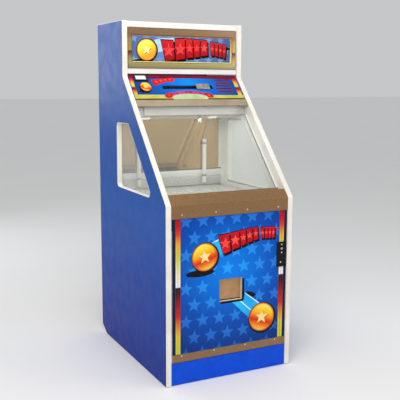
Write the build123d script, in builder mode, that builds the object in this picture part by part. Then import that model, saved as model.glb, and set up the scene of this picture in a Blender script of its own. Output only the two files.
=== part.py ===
from build123d import *
from math import acos, cos, hypot, pi, radians, sin, tan
import os

# Upright coin pusher cabinet, millimetres.
# Origin: centre of the footprint on the floor. +Z up, the player stands on the -Y side.
# "Depth" below always means the distance behind the front edge of the side panels.

# ---------------------------------------------------------------- driving dimensions
WIDTH = 715
DEPTH = 945
HEIGHT = 1800
PANEL = 28                    # side panel board
TRIM = 3                      # edge moulding outside the board
FLOOR_GAP = 3                 # the boards stand this far off the floor, on the feet
INNER = WIDTH / 2 - PANEL     # inner face of a side panel, from the middle
FRONT = -DEPTH / 2

KNEE_Z = 904                  # lower kink of the side silhouette
HEADER_DEPTH = 552            # depth of the upper kink
HEADER_Z = 1510               # height of the upper kink
HEEL_RUN = 76                 # cut-off bottom rear corner, for tipping on the casters
HEEL_RISE = 42

BOARD = 18                    # door, header, kick and base boards
THIN_BOARD = 12
SHEET = 2                     # bent sheet metal
REAR_FACE = 937               # depth of the rear panels' outer face

RUN = HEADER_DEPTH
RISE = HEADER_Z - KNEE_Z
SLOPE = hypot(RUN, RISE)
UP_Y, UP_Z = RUN / SLOPE, RISE / SLOPE


def at(depth):
    """Y of a point this far behind the front edge."""
    return FRONT + depth


def on_slope(up, inward):
    """(Y, Z) of a point up the sloping front and square inward from it."""
    return (at(up * UP_Y + inward * UP_Z), KNEE_Z + up * UP_Z - inward * UP_Y)


def slope_plane(inward):
    """Plane of the sloping front: local X across, local Y up the slope, normal outward."""
    y, z = on_slope(0, inward)
    return Plane(origin=(0, y, z), x_dir=(1, 0, 0), z_dir=(0, -UP_Z, UP_Y))


def front_plane(depth):
    """Upright plane that faces the player: local X across, local Y up."""
    return Plane(origin=(0, at(depth), 0), x_dir=(1, 0, 0), z_dir=(0, -1, 0))


def rear_plane(depth):
    """Upright plane that faces the rear, with local X towards -X."""
    return Plane(origin=(0, at(depth), 0), x_dir=(-1, 0, 0), z_dir=(0, 1, 0))


def block(x0, x1, depth0, depth1, z0, z1, mode=Mode.ADD):
    """Square block between two corners, inside the current part."""
    with Locations(((x0 + x1) / 2, at((depth0 + depth1) / 2), (z0 + z1) / 2)):
        Box(x1 - x0, depth1 - depth0, z1 - z0, mode=mode)


def finish(builder, name):
    """Label a finished piece and write it out."""
    builder.part.label = name
    export_step(builder.part, f"parts/{name}.step")


os.makedirs("parts", exist_ok=True)

# ---------------------------------------------------------------- side panels and their trims
CORNER = 12
KINK_R = 20

with BuildSketch() as silhouette:
    with BuildLine():
        Polyline(
            (at(0), 0),
            (at(0), KNEE_Z),
            (at(HEADER_DEPTH), HEADER_Z),
            (at(HEADER_DEPTH), HEIGHT),
            (at(DEPTH), HEIGHT),
            (at(DEPTH), HEEL_RISE),
            (at(DEPTH - HEEL_RUN), 0),
            close=True,
        )
    make_face()
    fillet(silhouette.vertices().group_by(Axis.Y)[-1], CORNER)
    fillet(silhouette.vertices().filter_by(lambda v: abs(v.Y - HEADER_Z) < 1), KINK_R)
    fillet(silhouette.vertices().filter_by(lambda v: abs(v.Y - KNEE_Z) < 1), KINK_R)
    fillet(silhouette.vertices().filter_by(lambda v: abs(v.Y - HEEL_RISE) < 1), KINK_R)

with BuildSketch() as board_outline:
    add(silhouette.sketch)
    offset(amount=-TRIM, kind=Kind.INTERSECTION, mode=Mode.REPLACE)

WINDOW_TOP = 1268
WINDOW_BOTTOM = 916
WINDOW_BACK = 653
WINDOW_TOP_FRONT = 475
WINDOW_TIP = 160              # where the slanted and the bottom edges would meet
WINDOW_R = 25

with BuildSketch() as window:
    with BuildLine():
        Polyline(
            (at(WINDOW_BACK), WINDOW_TOP),
            (at(WINDOW_TOP_FRONT), WINDOW_TOP),
            (at(WINDOW_TIP), WINDOW_BOTTOM),
            (at(WINDOW_BACK), WINDOW_BOTTOM),
            close=True,
        )
    make_face()
    fillet(window.vertices(), WINDOW_R)

LOCK_X = 297
LOCK_Z = 636
CAM_DEPTH = 33                # front of the door lock's cam
CAM_T = 3
CAM_REACH = 40
CAM_WIDTH = 16
MORTISE = (INNER, INNER + 12, CAM_DEPTH - 3, CAM_DEPTH + CAM_T + 3)

# Screws that hold the wall liners, as depth and height on either side wall.
SCREW_HEAD_R = 4.5
SCREW_R = 2
LINER_SCREW_LENGTH = 16
LINER_SCREWS = (
    (120, 900),
    (265, 1080),
    (390, 1218),
    (500, 1290),
    (695, 1255),
    (695, 1140),
    (695, 1010),
    (695, 880),
    (520, 885),
    (300, 885),
)
with BuildSketch() as liner_screw_holes:
    with Locations(*[(at(depth), z) for depth, z in LINER_SCREWS]):
        Circle(SCREW_R)

for side, face_x in (("left", -WIDTH / 2), ("right", INNER)):
    with BuildPart() as side_panel:
        with BuildSketch(Plane.YZ.offset(face_x)):
            add(board_outline.sketch)
            add(window.sketch, mode=Mode.SUBTRACT)
        extrude(amount=PANEL)
        hole_x = -INNER - LINER_SCREW_LENGTH if side == "left" else INNER
        with BuildSketch(Plane.YZ.offset(hole_x)):
            add(liner_screw_holes.sketch)
        extrude(amount=LINER_SCREW_LENGTH, mode=Mode.SUBTRACT)
        if side == "right":
            block(*MORTISE, LOCK_Z - CAM_REACH, LOCK_Z + CAM_REACH, mode=Mode.SUBTRACT)
    finish(side_panel, f"{side}_side_panel")

# White moulding round each panel's edge, left off the bottom edge.
with BuildPart() as edge_mouldings:
    for face_x in (-WIDTH / 2, INNER):
        with BuildSketch(Plane.YZ.offset(face_x)):
            add(silhouette.sketch)
            add(board_outline.sketch, mode=Mode.SUBTRACT)
            with Locations((0, 0)):
                Rectangle(2 * DEPTH, 2 * FLOOR_GAP, mode=Mode.SUBTRACT)
        extrude(amount=PANEL)
finish(edge_mouldings, "edge_mouldings")

with BuildPart() as window_mouldings:
    for face_x in (-WIDTH / 2, INNER):
        with BuildSketch(Plane.YZ.offset(face_x)):
            add(window.sketch)
            offset(amount=-TRIM, kind=Kind.INTERSECTION, mode=Mode.SUBTRACT)
        extrude(amount=PANEL)
finish(window_mouldings, "window_mouldings")

# ---------------------------------------------------------------- playfield walls
LINER = 4                     # window panes and wall liners lie in one layer
PANE_LAP = 10
GLASS_INWARD = 55             # front glass, square inward from the sloping front
GLASS_T = 6
LINER_INWARD = 66
BED_TOP = 845
MIRROR_DEPTH = 725
CEILING_FRONT = (458, 1309)   # depth and height of the ceiling's front edge
CEILING_BACK_Z = 1272
CHUTE_FRONT = 74              # depth of the win chute's front side

with BuildSketch() as pane_outline:
    add(window.sketch)
    offset(amount=PANE_LAP, kind=Kind.ARC, mode=Mode.REPLACE)

with BuildPart() as window_panes:
    for face_x in (-INNER, INNER - LINER):
        with BuildSketch(Plane.YZ.offset(face_x)):
            add(pane_outline.sketch)
        extrude(amount=LINER)
finish(window_panes, "window_panes")

liner_nose_z = KNEE_Z + (CHUTE_FRONT * UP_Z - LINER_INWARD) / UP_Y

with BuildPart() as wall_liners:
    for face_x in (-INNER, INNER - LINER):
        with BuildSketch(Plane.YZ.offset(face_x)):
            with BuildLine():
                Polyline(
                    (at(CHUTE_FRONT), BED_TOP),
                    (at(CHUTE_FRONT), liner_nose_z),
                    (at(CEILING_FRONT[0]), CEILING_FRONT[1]),
                    (at(MIRROR_DEPTH), CEILING_BACK_Z),
                    (at(MIRROR_DEPTH), BED_TOP),
                    close=True,
                )
            make_face()
            add(pane_outline.sketch, mode=Mode.SUBTRACT)
            add(liner_screw_holes.sketch, mode=Mode.SUBTRACT)
        extrude(amount=LINER)
finish(wall_liners, "wall_liners")

# ---------------------------------------------------------------- base, feet and casters
BASE_Z = 70
FOOT_X = 285
FOOT_DEPTHS = (75, 825)
FOOT_R = 20
STUD_R = 5
STUD_HOLE_R = 5.5
foot_spots = [(sx * FOOT_X, at(d)) for sx in (-1, 1) for d in FOOT_DEPTHS]

with BuildPart() as base_board:
    block(-INNER, INNER, 24, 925, BASE_Z, BASE_Z + BOARD)
    with BuildSketch(Plane.XY.offset(BASE_Z)):
        with Locations(*foot_spots):
            Circle(STUD_HOLE_R)
    extrude(amount=BOARD, mode=Mode.SUBTRACT)
finish(base_board, "base_board")

with BuildPart() as levelling_feet:
    with BuildSketch(Plane.XY):
        with Locations(*foot_spots):
            Circle(FOOT_R)
    extrude(amount=10)
    chamfer(levelling_feet.edges().group_by(Axis.Z)[-1], 3)
    with BuildSketch(Plane.XY.offset(9)):
        with Locations(*foot_spots):
            Circle(STUD_R)
    extrude(amount=BASE_Z + BOARD + 18)
    with BuildSketch(Plane.XY.offset(BASE_Z - 8)):
        with Locations(*foot_spots):
            RegularPolygon(radius=8.5, side_count=6, major_radius=False)
    extrude(amount=8)
finish(levelling_feet, "levelling_feet")

KICK_TOP = 115
with BuildPart() as kick_panel:
    block(-INNER, INNER, 6, 24, FLOOR_GAP, KICK_TOP)
finish(kick_panel, "kick_panel")

CASTER_X = 250
CASTER_DEPTH = 903
CASTER_Z = 37
WHEEL_R = 25
WHEEL_W = 20
AXLE_R = 4
FORK_T = 2.5
FORK_GAP = 23

with BuildPart() as caster_brackets:
    for sx in (-1, 1):
        with Locations((sx * CASTER_X, at(CASTER_DEPTH - 6), BASE_Z - FORK_T / 2)):
            Box(64, 44, FORK_T)
        for ear in (-1, 1):
            ear_x = sx * CASTER_X + ear * (FORK_GAP + FORK_T) / 2
            with BuildSketch(Plane.YZ.offset(ear_x - FORK_T / 2)):
                with BuildLine():
                    Polyline(
                        (at(CASTER_DEPTH - 24), BASE_Z),
                        (at(CASTER_DEPTH + 12), BASE_Z),
                        (at(CASTER_DEPTH + 10), CASTER_Z - 6),
                        (at(CASTER_DEPTH + 4), CASTER_Z - 10),
                        (at(CASTER_DEPTH - 6), CASTER_Z - 10),
                        (at(CASTER_DEPTH - 10), CASTER_Z - 6),
                        close=True,
                    )
                make_face()
            extrude(amount=FORK_T)
        # The axle is riveted in the fork's ears.
        with BuildSketch(Plane.YZ.offset(sx * CASTER_X - 18)):
            with Locations((at(CASTER_DEPTH), CASTER_Z)):
                Circle(AXLE_R)
        extrude(amount=36)
finish(caster_brackets, "caster_brackets")

for side, sx in (("left", -1), ("right", 1)):
    with BuildPart() as caster_wheel:
        with BuildSketch(Plane.YZ.offset(sx * CASTER_X - WHEEL_W / 2)):
            with Locations((at(CASTER_DEPTH), CASTER_Z)):
                Circle(WHEEL_R)
                Circle(AXLE_R + 0.08, mode=Mode.SUBTRACT)
        extrude(amount=WHEEL_W)
        rims = caster_wheel.edges().filter_by(GeomType.CIRCLE).group_by(SortBy.RADIUS)[-1]
        fillet(rims, 3)
    finish(caster_wheel, f"{side}_caster_wheel")

# ---------------------------------------------------------------- ledge across the front
LIP_DEPTH = 3
LIP_BOTTOM = 837
CAP_INWARD = 4
CAP_RUN = 57                  # how far the cap climbs the slope
CAP_SEAT = 50                 # its step down to the glass
GLASS_START = 82
GLASS_END = 590
CHANNEL = 12
LEDGE_SCREWS = (-273, -89, 89, 271)
LEDGE_SCREW_Z = 856

fold_z = KNEE_Z + (LIP_DEPTH * UP_Z - CAP_INWARD) / UP_Y

with BuildPart() as ledge_cap:
    with BuildSketch(Plane.YZ):
        with BuildLine():
            FilletPolyline(
                (at(LIP_DEPTH), LIP_BOTTOM),
                (at(LIP_DEPTH), fold_z),
                on_slope(CAP_RUN, CAP_INWARD),
                on_slope(CAP_RUN, CAP_SEAT),
                on_slope(GLASS_START + CHANNEL, CAP_SEAT),
                radius=4,
            )
            offset(amount=SHEET, side=Side.RIGHT)
        make_face()
    extrude(amount=INNER, both=True)
    with BuildSketch(front_plane(LIP_DEPTH)):
        with Locations(*[(x, LEDGE_SCREW_Z) for x in LEDGE_SCREWS]):
            Circle(SCREW_R)
    extrude(amount=-SHEET, mode=Mode.SUBTRACT)
finish(ledge_cap, "ledge_cap")

with BuildPart() as front_cross_rail:
    block(-INNER, INNER, LIP_DEPTH + SHEET, 33, LIP_BOTTOM + 1, 888)
    with BuildSketch(front_plane(LIP_DEPTH + SHEET)):
        with Locations(*[(x, LEDGE_SCREW_Z) for x in LEDGE_SCREWS]):
            Circle(SCREW_R)
    extrude(amount=-18, mode=Mode.SUBTRACT)
finish(front_cross_rail, "front_cross_rail")


def pan_head_screws(face, spots, length):
    """Round-headed screws with their heads on a face, driven in against its normal."""
    with BuildPart() as screws:
        with BuildSketch(face):
            with Locations(*spots):
                Circle(SCREW_HEAD_R)
        extrude(amount=2, taper=25)
        with BuildSketch(face):
            with Locations(*spots):
                Circle(SCREW_R)
        extrude(amount=-length)
    return screws.part


with BuildPart() as panel_screws:
    add(pan_head_screws(front_plane(LIP_DEPTH), [(x, LEDGE_SCREW_Z) for x in LEDGE_SCREWS], 20))
    for sx in (-1, 1):
        # Local Y of a wall's plane is up on the left wall and down on the right one.
        wall = Plane(origin=(sx * (INNER - LINER), 0, 0), x_dir=(0, 1, 0), z_dir=(-sx, 0, 0))
        spots = [(at(depth), -sx * z) for depth, z in LINER_SCREWS]
        add(pan_head_screws(wall, spots, LINER + LINER_SCREW_LENGTH))
finish(panel_screws, "panel_screws")

# ---------------------------------------------------------------- front glass
GLASS_HALF = INNER - 2

with BuildPart() as front_glass:
    with BuildSketch(slope_plane(GLASS_INWARD + GLASS_T)):
        with Locations((0, (GLASS_START + GLASS_END) / 2)):
            Rectangle(2 * GLASS_HALF, GLASS_END - GLASS_START)
    extrude(amount=GLASS_T)
finish(front_glass, "front_glass")

CHANNEL_WALL = 3
CHANNEL_X = INNER - 10
with BuildPart() as glass_channels:
    channel_inward = GLASS_INWARD + GLASS_T + CHANNEL_WALL
    for sx in (-1, 1):
        with BuildSketch(slope_plane(channel_inward)):
            with Locations((sx * (CHANNEL_X + 5), (GLASS_START + GLASS_END) / 2)):
                Rectangle(10, GLASS_END - GLASS_START)
        extrude(amount=CHANNEL)
    with BuildSketch(slope_plane(channel_inward)):
        with Locations((0, GLASS_START + 3)):
            Rectangle(2 * CHANNEL_X - 0.6, CHANNEL)
    extrude(amount=CHANNEL)
    with BuildSketch(slope_plane(GLASS_INWARD + GLASS_T)):
        with Locations((0, (GLASS_START + GLASS_END) / 2)):
            Rectangle(2 * GLASS_HALF, GLASS_END - GLASS_START)
    extrude(amount=GLASS_T, mode=Mode.SUBTRACT)
finish(glass_channels, "glass_channels")

# ---------------------------------------------------------------- header box
HEADER_FACE = 562
HEADER_BOTTOM = 1526
TOP_Z = HEIGHT - TRIM
FRAME_HALF = 323
FRAME_Z = (1555, 1765)
FRAME_R = 14
SIGHT_HALF = 302
SIGHT_Z = (1584, 1730)
SIGN_T = 4

with BuildPart() as header_board:
    block(-INNER, INNER, HEADER_FACE, HEADER_FACE + BOARD, HEADER_BOTTOM, TOP_Z)
    sight_mid = sum(SIGHT_Z) / 2
    sight_height = SIGHT_Z[1] - SIGHT_Z[0]
    with BuildSketch(front_plane(HEADER_FACE)):
        with Locations((0, sight_mid)):
            Rectangle(2 * SIGHT_HALF + 22, sight_height + 22)
    extrude(amount=-SIGN_T, mode=Mode.SUBTRACT)
    with BuildSketch(front_plane(HEADER_FACE)):
        with Locations((0, sight_mid)):
            Rectangle(2 * SIGHT_HALF - 12, sight_height - 12)
    extrude(amount=-BOARD, mode=Mode.SUBTRACT)
finish(header_board, "header_board")

with BuildPart() as marquee_panel:
    with BuildSketch(front_plane(HEADER_FACE)):
        with Locations((0, sight_mid)):
            Rectangle(2 * SIGHT_HALF + 21, sight_height + 21)
    extrude(amount=-SIGN_T)
finish(marquee_panel, "marquee_panel")

with BuildPart() as marquee_frame:
    with BuildSketch(front_plane(HEADER_FACE)):
        with Locations((0, sum(FRAME_Z) / 2)):
            RectangleRounded(2 * FRAME_HALF, FRAME_Z[1] - FRAME_Z[0], FRAME_R)
        with Locations((0, sight_mid)):
            RectangleRounded(2 * SIGHT_HALF, sight_height, 6, mode=Mode.SUBTRACT)
    extrude(amount=3)
finish(marquee_frame, "marquee_frame")

with BuildPart() as top_board:
    block(-INNER, INNER, HEADER_FACE + BOARD, 925, TOP_Z - BOARD, TOP_Z)
finish(top_board, "top_board")

LAMP_HALF = 285
LAMP_DEPTH = 640
LAMP_Z = 1657
with BuildPart() as marquee_lamp:
    block(-LAMP_HALF, LAMP_HALF, LAMP_DEPTH + 30, LAMP_DEPTH + 60, LAMP_Z - 30, LAMP_Z + 30)
    for sx in (-1, 1):
        inner_x, outer_x = sorted((sx * (LAMP_HALF - 14), sx * LAMP_HALF))
        block(inner_x, outer_x, LAMP_DEPTH - 18, LAMP_DEPTH + 30, LAMP_Z - 18, LAMP_Z + 18)
        hang_x0, hang_x1 = sorted((sx * (LAMP_HALF - 60), sx * (LAMP_HALF - 20)))
        block(hang_x0, hang_x1, LAMP_DEPTH + 30, LAMP_DEPTH + 34, LAMP_Z, TOP_Z - BOARD)
    with BuildSketch(Plane.YZ.offset(-LAMP_HALF + 7)):
        with Locations((at(LAMP_DEPTH), LAMP_Z)):
            Circle(13)
    extrude(amount=2 * LAMP_HALF - 14)
finish(marquee_lamp, "marquee_lamp")

# ---------------------------------------------------------------- instruction panel and coin shuttle
PANEL_INWARD = 3
PANEL_T = 6
PANEL_START = 655
PANEL_END = 835
PANEL_HALF = 326
SLOT_MID = 748
SLOT_HEIGHT = 26
SLOT_HALF = 150
RAIL_T = 20
RAIL_HALF = 170
RAIL_HEIGHT = 50

with BuildPart() as instruction_panel:
    with BuildSketch(slope_plane(PANEL_INWARD)):
        with Locations((0, (PANEL_START + PANEL_END) / 2)):
            Rectangle(2 * PANEL_HALF, PANEL_END - PANEL_START)
        with Locations((0, SLOT_MID)):
            RectangleRounded(2 * SLOT_HALF, SLOT_HEIGHT, 5, mode=Mode.SUBTRACT)
    extrude(amount=-PANEL_T)
finish(instruction_panel, "instruction_panel")

with BuildPart() as shuttle_rail:
    with BuildSketch(slope_plane(PANEL_INWARD + PANEL_T)):
        with Locations((0, SLOT_MID)):
            Rectangle(2 * RAIL_HALF, RAIL_HEIGHT)
            RectangleRounded(2 * SLOT_HALF, SLOT_HEIGHT, 5, mode=Mode.SUBTRACT)
    extrude(amount=-RAIL_T)
finish(shuttle_rail, "shuttle_rail")

BAR_START = 617
BAR_LIP = 8
with BuildPart() as panel_retainer_bar:
    with BuildSketch(Plane.YZ):
        with BuildLine():
            FilletPolyline(
                on_slope(PANEL_START + 3, 0),
                on_slope(BAR_START, 0),
                on_slope(BAR_START, BAR_LIP),
                radius=3,
            )
            offset(amount=SHEET, side=Side.LEFT)
        make_face()
    extrude(amount=INNER - 0.5, both=True)
    # Packing strip that brings the panel's lower edge up to the bar.
    with BuildSketch(slope_plane(SHEET)):
        with Locations((0, PANEL_START + 1.5)):
            Rectangle(2 * PANEL_HALF, 3)
    extrude(amount=-(PANEL_INWARD - SHEET))
finish(panel_retainer_bar, "panel_retainer_bar")

BEZEL_X = -258.5
BEZEL_MID = 814
BEZEL_W = 78
BEZEL_H = 42
LENS_W = 59
LENS_H = 28
with BuildPart() as display_bezel:
    with BuildSketch(slope_plane(PANEL_INWARD)):
        with Locations((BEZEL_X, BEZEL_MID)):
            RectangleRounded(BEZEL_W, BEZEL_H, 3)
            Rectangle(LENS_W, LENS_H, mode=Mode.SUBTRACT)
    extrude(amount=4)
finish(display_bezel, "display_bezel")

with BuildPart() as display_lens:
    with BuildSketch(slope_plane(PANEL_INWARD)):
        with Locations((BEZEL_X, BEZEL_MID)):
            Rectangle(LENS_W - 0.4, LENS_H - 0.4)
    extrude(amount=2)
finish(display_lens, "display_lens")

SHUTTLE_X = 88
SHUTTLE_W = 81
SHUTTLE_H = 36
STEM_W = 40
HEAD_GAP = 0.5
HEAD_T = 12
COIN_SLOT = (2.4, 22)
keeper_inward = PANEL_INWARD + PANEL_T + RAIL_T + HEAD_GAP
KEEPER_T = 3.5

with BuildPart() as coin_shuttle:
    with BuildSketch(slope_plane(PANEL_INWARD - HEAD_GAP)):
        with Locations((SHUTTLE_X, SLOT_MID)):
            RectangleRounded(SHUTTLE_W, SHUTTLE_H, 4)
    extrude(amount=HEAD_T)
    top_edges = coin_shuttle.faces().sort_by(Axis((0, 0, 0), (0, -UP_Z, UP_Y)))[-1].edges()
    chamfer(top_edges, 4)
    with BuildSketch(slope_plane(PANEL_INWARD - HEAD_GAP)):
        with Locations((SHUTTLE_X, SLOT_MID)):
            Rectangle(STEM_W, SLOT_HEIGHT - 1)
    extrude(amount=-(keeper_inward - PANEL_INWARD + HEAD_GAP))
    with BuildSketch(slope_plane(keeper_inward)):
        with Locations((SHUTTLE_X, SLOT_MID)):
            Rectangle(STEM_W + 20, SLOT_HEIGHT + 12)
    extrude(amount=-KEEPER_T)
    with BuildSketch(slope_plane(-HEAD_T - 5)):
        with Locations((SHUTTLE_X, SLOT_MID)):
            Rectangle(*COIN_SLOT)
    extrude(amount=-80, mode=Mode.SUBTRACT)
finish(coin_shuttle, "coin_shuttle")

RUNWAY_W = 7.6
RUNWAY_FRONT = 518
RUNWAY_BACK = 548
RUNWAY_END = 1262
runway_inward = keeper_inward + KEEPER_T

with BuildPart() as coin_runway:
    with BuildSketch(Plane.YZ.offset(SHUTTLE_X - RUNWAY_W / 2)):
        with BuildLine():
            Polyline(
                on_slope(SLOT_MID - 15, runway_inward),
                on_slope(SLOT_MID + 15, runway_inward),
                (at(RUNWAY_BACK), 1434),
                (at(RUNWAY_BACK), RUNWAY_END),
                (at(RUNWAY_FRONT), RUNWAY_END),
                (at(RUNWAY_FRONT), 1420),
                close=True,
            )
        make_face()
    extrude(amount=RUNWAY_W)
    with BuildSketch(Plane.YZ.offset(SHUTTLE_X - COIN_SLOT[0] / 2 - 0.4)):
        with BuildLine():
            Polyline(
                on_slope(SLOT_MID - 12, runway_inward),
                on_slope(SLOT_MID + 12, runway_inward),
                (at(RUNWAY_BACK - 2), 1431),
                (at(RUNWAY_BACK - 2), RUNWAY_END),
                (at(RUNWAY_FRONT + 2), RUNWAY_END),
                (at(RUNWAY_FRONT + 2), 1420),
                close=True,
            )
        make_face()
    extrude(amount=COIN_SLOT[0] + 0.8, mode=Mode.SUBTRACT)
finish(coin_runway, "coin_runway")

# ---------------------------------------------------------------- playfield
LAMP_BOX_HALF = 275
LAMP_BOX_TOP = 1352
ceiling_drop = (CEILING_FRONT[1] - CEILING_BACK_Z) / (MIRROR_DEPTH - CEILING_FRONT[0])
CEILING_END = 737
RUNWAY_SLOT_HALF = 122


def ceiling_z(depth):
    """Height of the ceiling's underside."""
    return CEILING_FRONT[1] - (depth - CEILING_FRONT[0]) * ceiling_drop


with BuildPart() as lamp_box:
    with BuildSketch(Plane.YZ.offset(-INNER)):
        with BuildLine():
            Polyline(
                (at(CEILING_FRONT[0]), CEILING_FRONT[1]),
                (at(CEILING_END), ceiling_z(CEILING_END)),
                (at(CEILING_END), ceiling_z(CEILING_END) + 4),
                (at(CEILING_FRONT[0]), CEILING_FRONT[1] + 4),
                close=True,
            )
        make_face()
    extrude(amount=2 * INNER)
    block(
        -LAMP_BOX_HALF,
        LAMP_BOX_HALF,
        CEILING_FRONT[0],
        CEILING_FRONT[0] + 4,
        CEILING_FRONT[1] + 2,
        LAMP_BOX_TOP,
    )
    block(
        -RUNWAY_SLOT_HALF,
        RUNWAY_SLOT_HALF,
        RUNWAY_FRONT - 6,
        RUNWAY_BACK + 6,
        CEILING_BACK_Z,
        CEILING_FRONT[1] + 20,
        mode=Mode.SUBTRACT,
    )
finish(lamp_box, "lamp_box")

LAMP_SPOTS = (-205, 205)
SPOT_DEPTH = 610
with BuildPart() as playfield_lamps:
    slant = Vector(0, 1, -ceiling_drop).normalized()
    under = Plane(
        origin=(0, at(SPOT_DEPTH), ceiling_z(SPOT_DEPTH)),
        x_dir=(1, 0, 0),
        z_dir=(0, slant.Z, -slant.Y),
    )
    with BuildSketch(under):
        with Locations(*[(x, 0) for x in LAMP_SPOTS]):
            Circle(26)
    extrude(amount=7, taper=20)
finish(playfield_lamps, "playfield_lamps")

MIRROR_T = 5
SHELF_TOP = 880
MIRROR_BOTTOM = SHELF_TOP + 3
with BuildPart() as back_mirror:
    block(
        -INNER + 0.5,
        INNER - 0.5,
        MIRROR_DEPTH,
        MIRROR_DEPTH + MIRROR_T,
        MIRROR_BOTTOM,
        ceiling_z(MIRROR_DEPTH + MIRROR_T),
    )
finish(back_mirror, "back_mirror")

POST_X = 207
POST_R = 12
POST_DEPTH = 711
POST_Z = (900, 1154)
POST_CLIPS = (935, 1125)
LEAD_R = 2

with BuildPart() as post_lamps:
    for sx in (-1, 1):
        with BuildSketch(Plane.XY.offset(POST_Z[0])):
            with Locations((sx * POST_X, at(POST_DEPTH))):
                Circle(POST_R)
        extrude(amount=POST_Z[1] - POST_Z[0])
        for clip_z in POST_CLIPS:
            with BuildSketch(Plane.XY.offset(clip_z)):
                with Locations((sx * POST_X, at(POST_DEPTH))):
                    Circle(POST_R + 1.5)
                with Locations((sx * POST_X, at((POST_DEPTH + MIRROR_DEPTH) / 2))):
                    Rectangle(16, MIRROR_DEPTH - POST_DEPTH)
            extrude(amount=12)
        # Supply lead, held straight between the tube's cap and the ceiling.
        lead_foot = Vector(sx * POST_X, at(POST_DEPTH), POST_Z[1] - 2)
        lead_head = Vector(sx * 240, at(POST_DEPTH), ceiling_z(POST_DEPTH) - 2)
        lead = lead_head - lead_foot
        with BuildSketch(Plane(origin=lead_foot, z_dir=lead)):
            Circle(LEAD_R)
        extrude(amount=lead.length)
finish(post_lamps, "post_lamps")

BED_FRONT = 196
with BuildPart() as playfield_bed:
    block(-INNER, INNER, BED_FRONT, 900, BED_TOP - THIN_BOARD, BED_TOP)
    block(-22, 22, 625, 850, BED_TOP - THIN_BOARD, BED_TOP, mode=Mode.SUBTRACT)
finish(playfield_bed, "playfield_bed")

WALL_BOTTOM = 640
with BuildPart() as front_inner_wall:
    block(-INNER, INNER, CHUTE_FRONT - 14, CHUTE_FRONT - 2, WALL_BOTTOM, 893)
finish(front_inner_wall, "front_inner_wall")

CHUTE_HALF = 310
CHUTE_END = 440
with BuildPart() as win_chute:
    block(-CHUTE_HALF, CHUTE_HALF, BED_FRONT - SHEET, BED_FRONT, CHUTE_END, BED_TOP - 3)
    with BuildSketch(Plane.YZ.offset(-CHUTE_HALF)):
        with BuildLine():
            Polyline(
                (at(CHUTE_FRONT - 2), BED_TOP - 30),
                (at(CHUTE_FRONT - 2), WALL_BOTTOM),
                (at(160), CHUTE_END),
            )
            offset(amount=SHEET, side=Side.LEFT)
        make_face()
    extrude(amount=2 * CHUTE_HALF)
    for sx in (-1, 1):
        with BuildSketch(Plane.YZ.offset(sx * CHUTE_HALF - SHEET / 2)):
            with BuildLine():
                Polyline(
                    (at(CHUTE_FRONT - 2), BED_TOP - 30),
                    (at(CHUTE_FRONT - 2), WALL_BOTTOM),
                    (at(160), CHUTE_END),
                    (at(BED_FRONT), CHUTE_END),
                    (at(BED_FRONT), BED_TOP - 30),
                    close=True,
                )
            make_face()
        extrude(amount=SHEET)
finish(win_chute, "win_chute")

with BuildPart() as coin_box:
    block(-200, 200, 140, 420, BASE_Z + BOARD, 400)
    block(-198, 198, 142, 418, BASE_Z + BOARD + SHEET, 400, mode=Mode.SUBTRACT)
    for sx in (-1, 1):
        x0, x1 = sorted((sx * 200, sx * 212))
        block(x0, x1, 240, 320, 350, 353)
finish(coin_box, "coin_box")

# ---------------------------------------------------------------- pusher and its drive
SHELF_HALF = 300
SHELF_FRONT = 400
SHELF_BACK = 840
SHELF_WALL = 6
SHELF_BOTTOM = BED_TOP + 0.5

with BuildPart() as pusher_shelf:
    block(-SHELF_HALF, SHELF_HALF, SHELF_FRONT, SHELF_BACK, SHELF_BOTTOM, SHELF_TOP)
    block(
        -SHELF_HALF + SHELF_WALL,
        SHELF_HALF - SHELF_WALL,
        SHELF_FRONT + SHELF_WALL,
        SHELF_BACK - SHELF_WALL,
        SHELF_BOTTOM,
        SHELF_TOP - SHELF_WALL,
        mode=Mode.SUBTRACT,
    )
    shelf_lip = pusher_shelf.edges().filter_by(Axis.X).group_by(Axis.Y)[0].sort_by(Axis.Z)[-1]
    fillet(shelf_lip, 2)
finish(pusher_shelf, "pusher_shelf")

with BuildPart() as pusher_guides:
    for sx in (-1, 1):
        x0, x1 = sorted((sx * (SHELF_HALF + 0.5), sx * (SHELF_HALF + 14)))
        block(x0, x1, 300, SHELF_BACK + 10, BED_TOP, BED_TOP + 14)
finish(pusher_guides, "pusher_guides")

MODULE = 2
PINION_TEETH = 18
PRESSURE = radians(20)
BACKLASH = 0.15
PINION_DEPTH = 735
PITCH_R = MODULE * PINION_TEETH / 2
RACK_PITCH_Z = 838
PINION_Z = RACK_PITCH_Z - PITCH_R
RACK_START = 720
RACK_END = 830
GEAR_W = 16
TOOTH_PITCH = pi * MODULE


def tooth_half_angle(radius):
    """Half the angle that an involute pinion tooth fills at a radius."""
    base = PITCH_R * cos(PRESSURE)
    here = acos(min(1, base / radius))
    at_pitch = (TOOTH_PITCH / 2 - BACKLASH) / (2 * PITCH_R)
    return at_pitch + (tan(PRESSURE) - PRESSURE) - (tan(here) - here)


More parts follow.
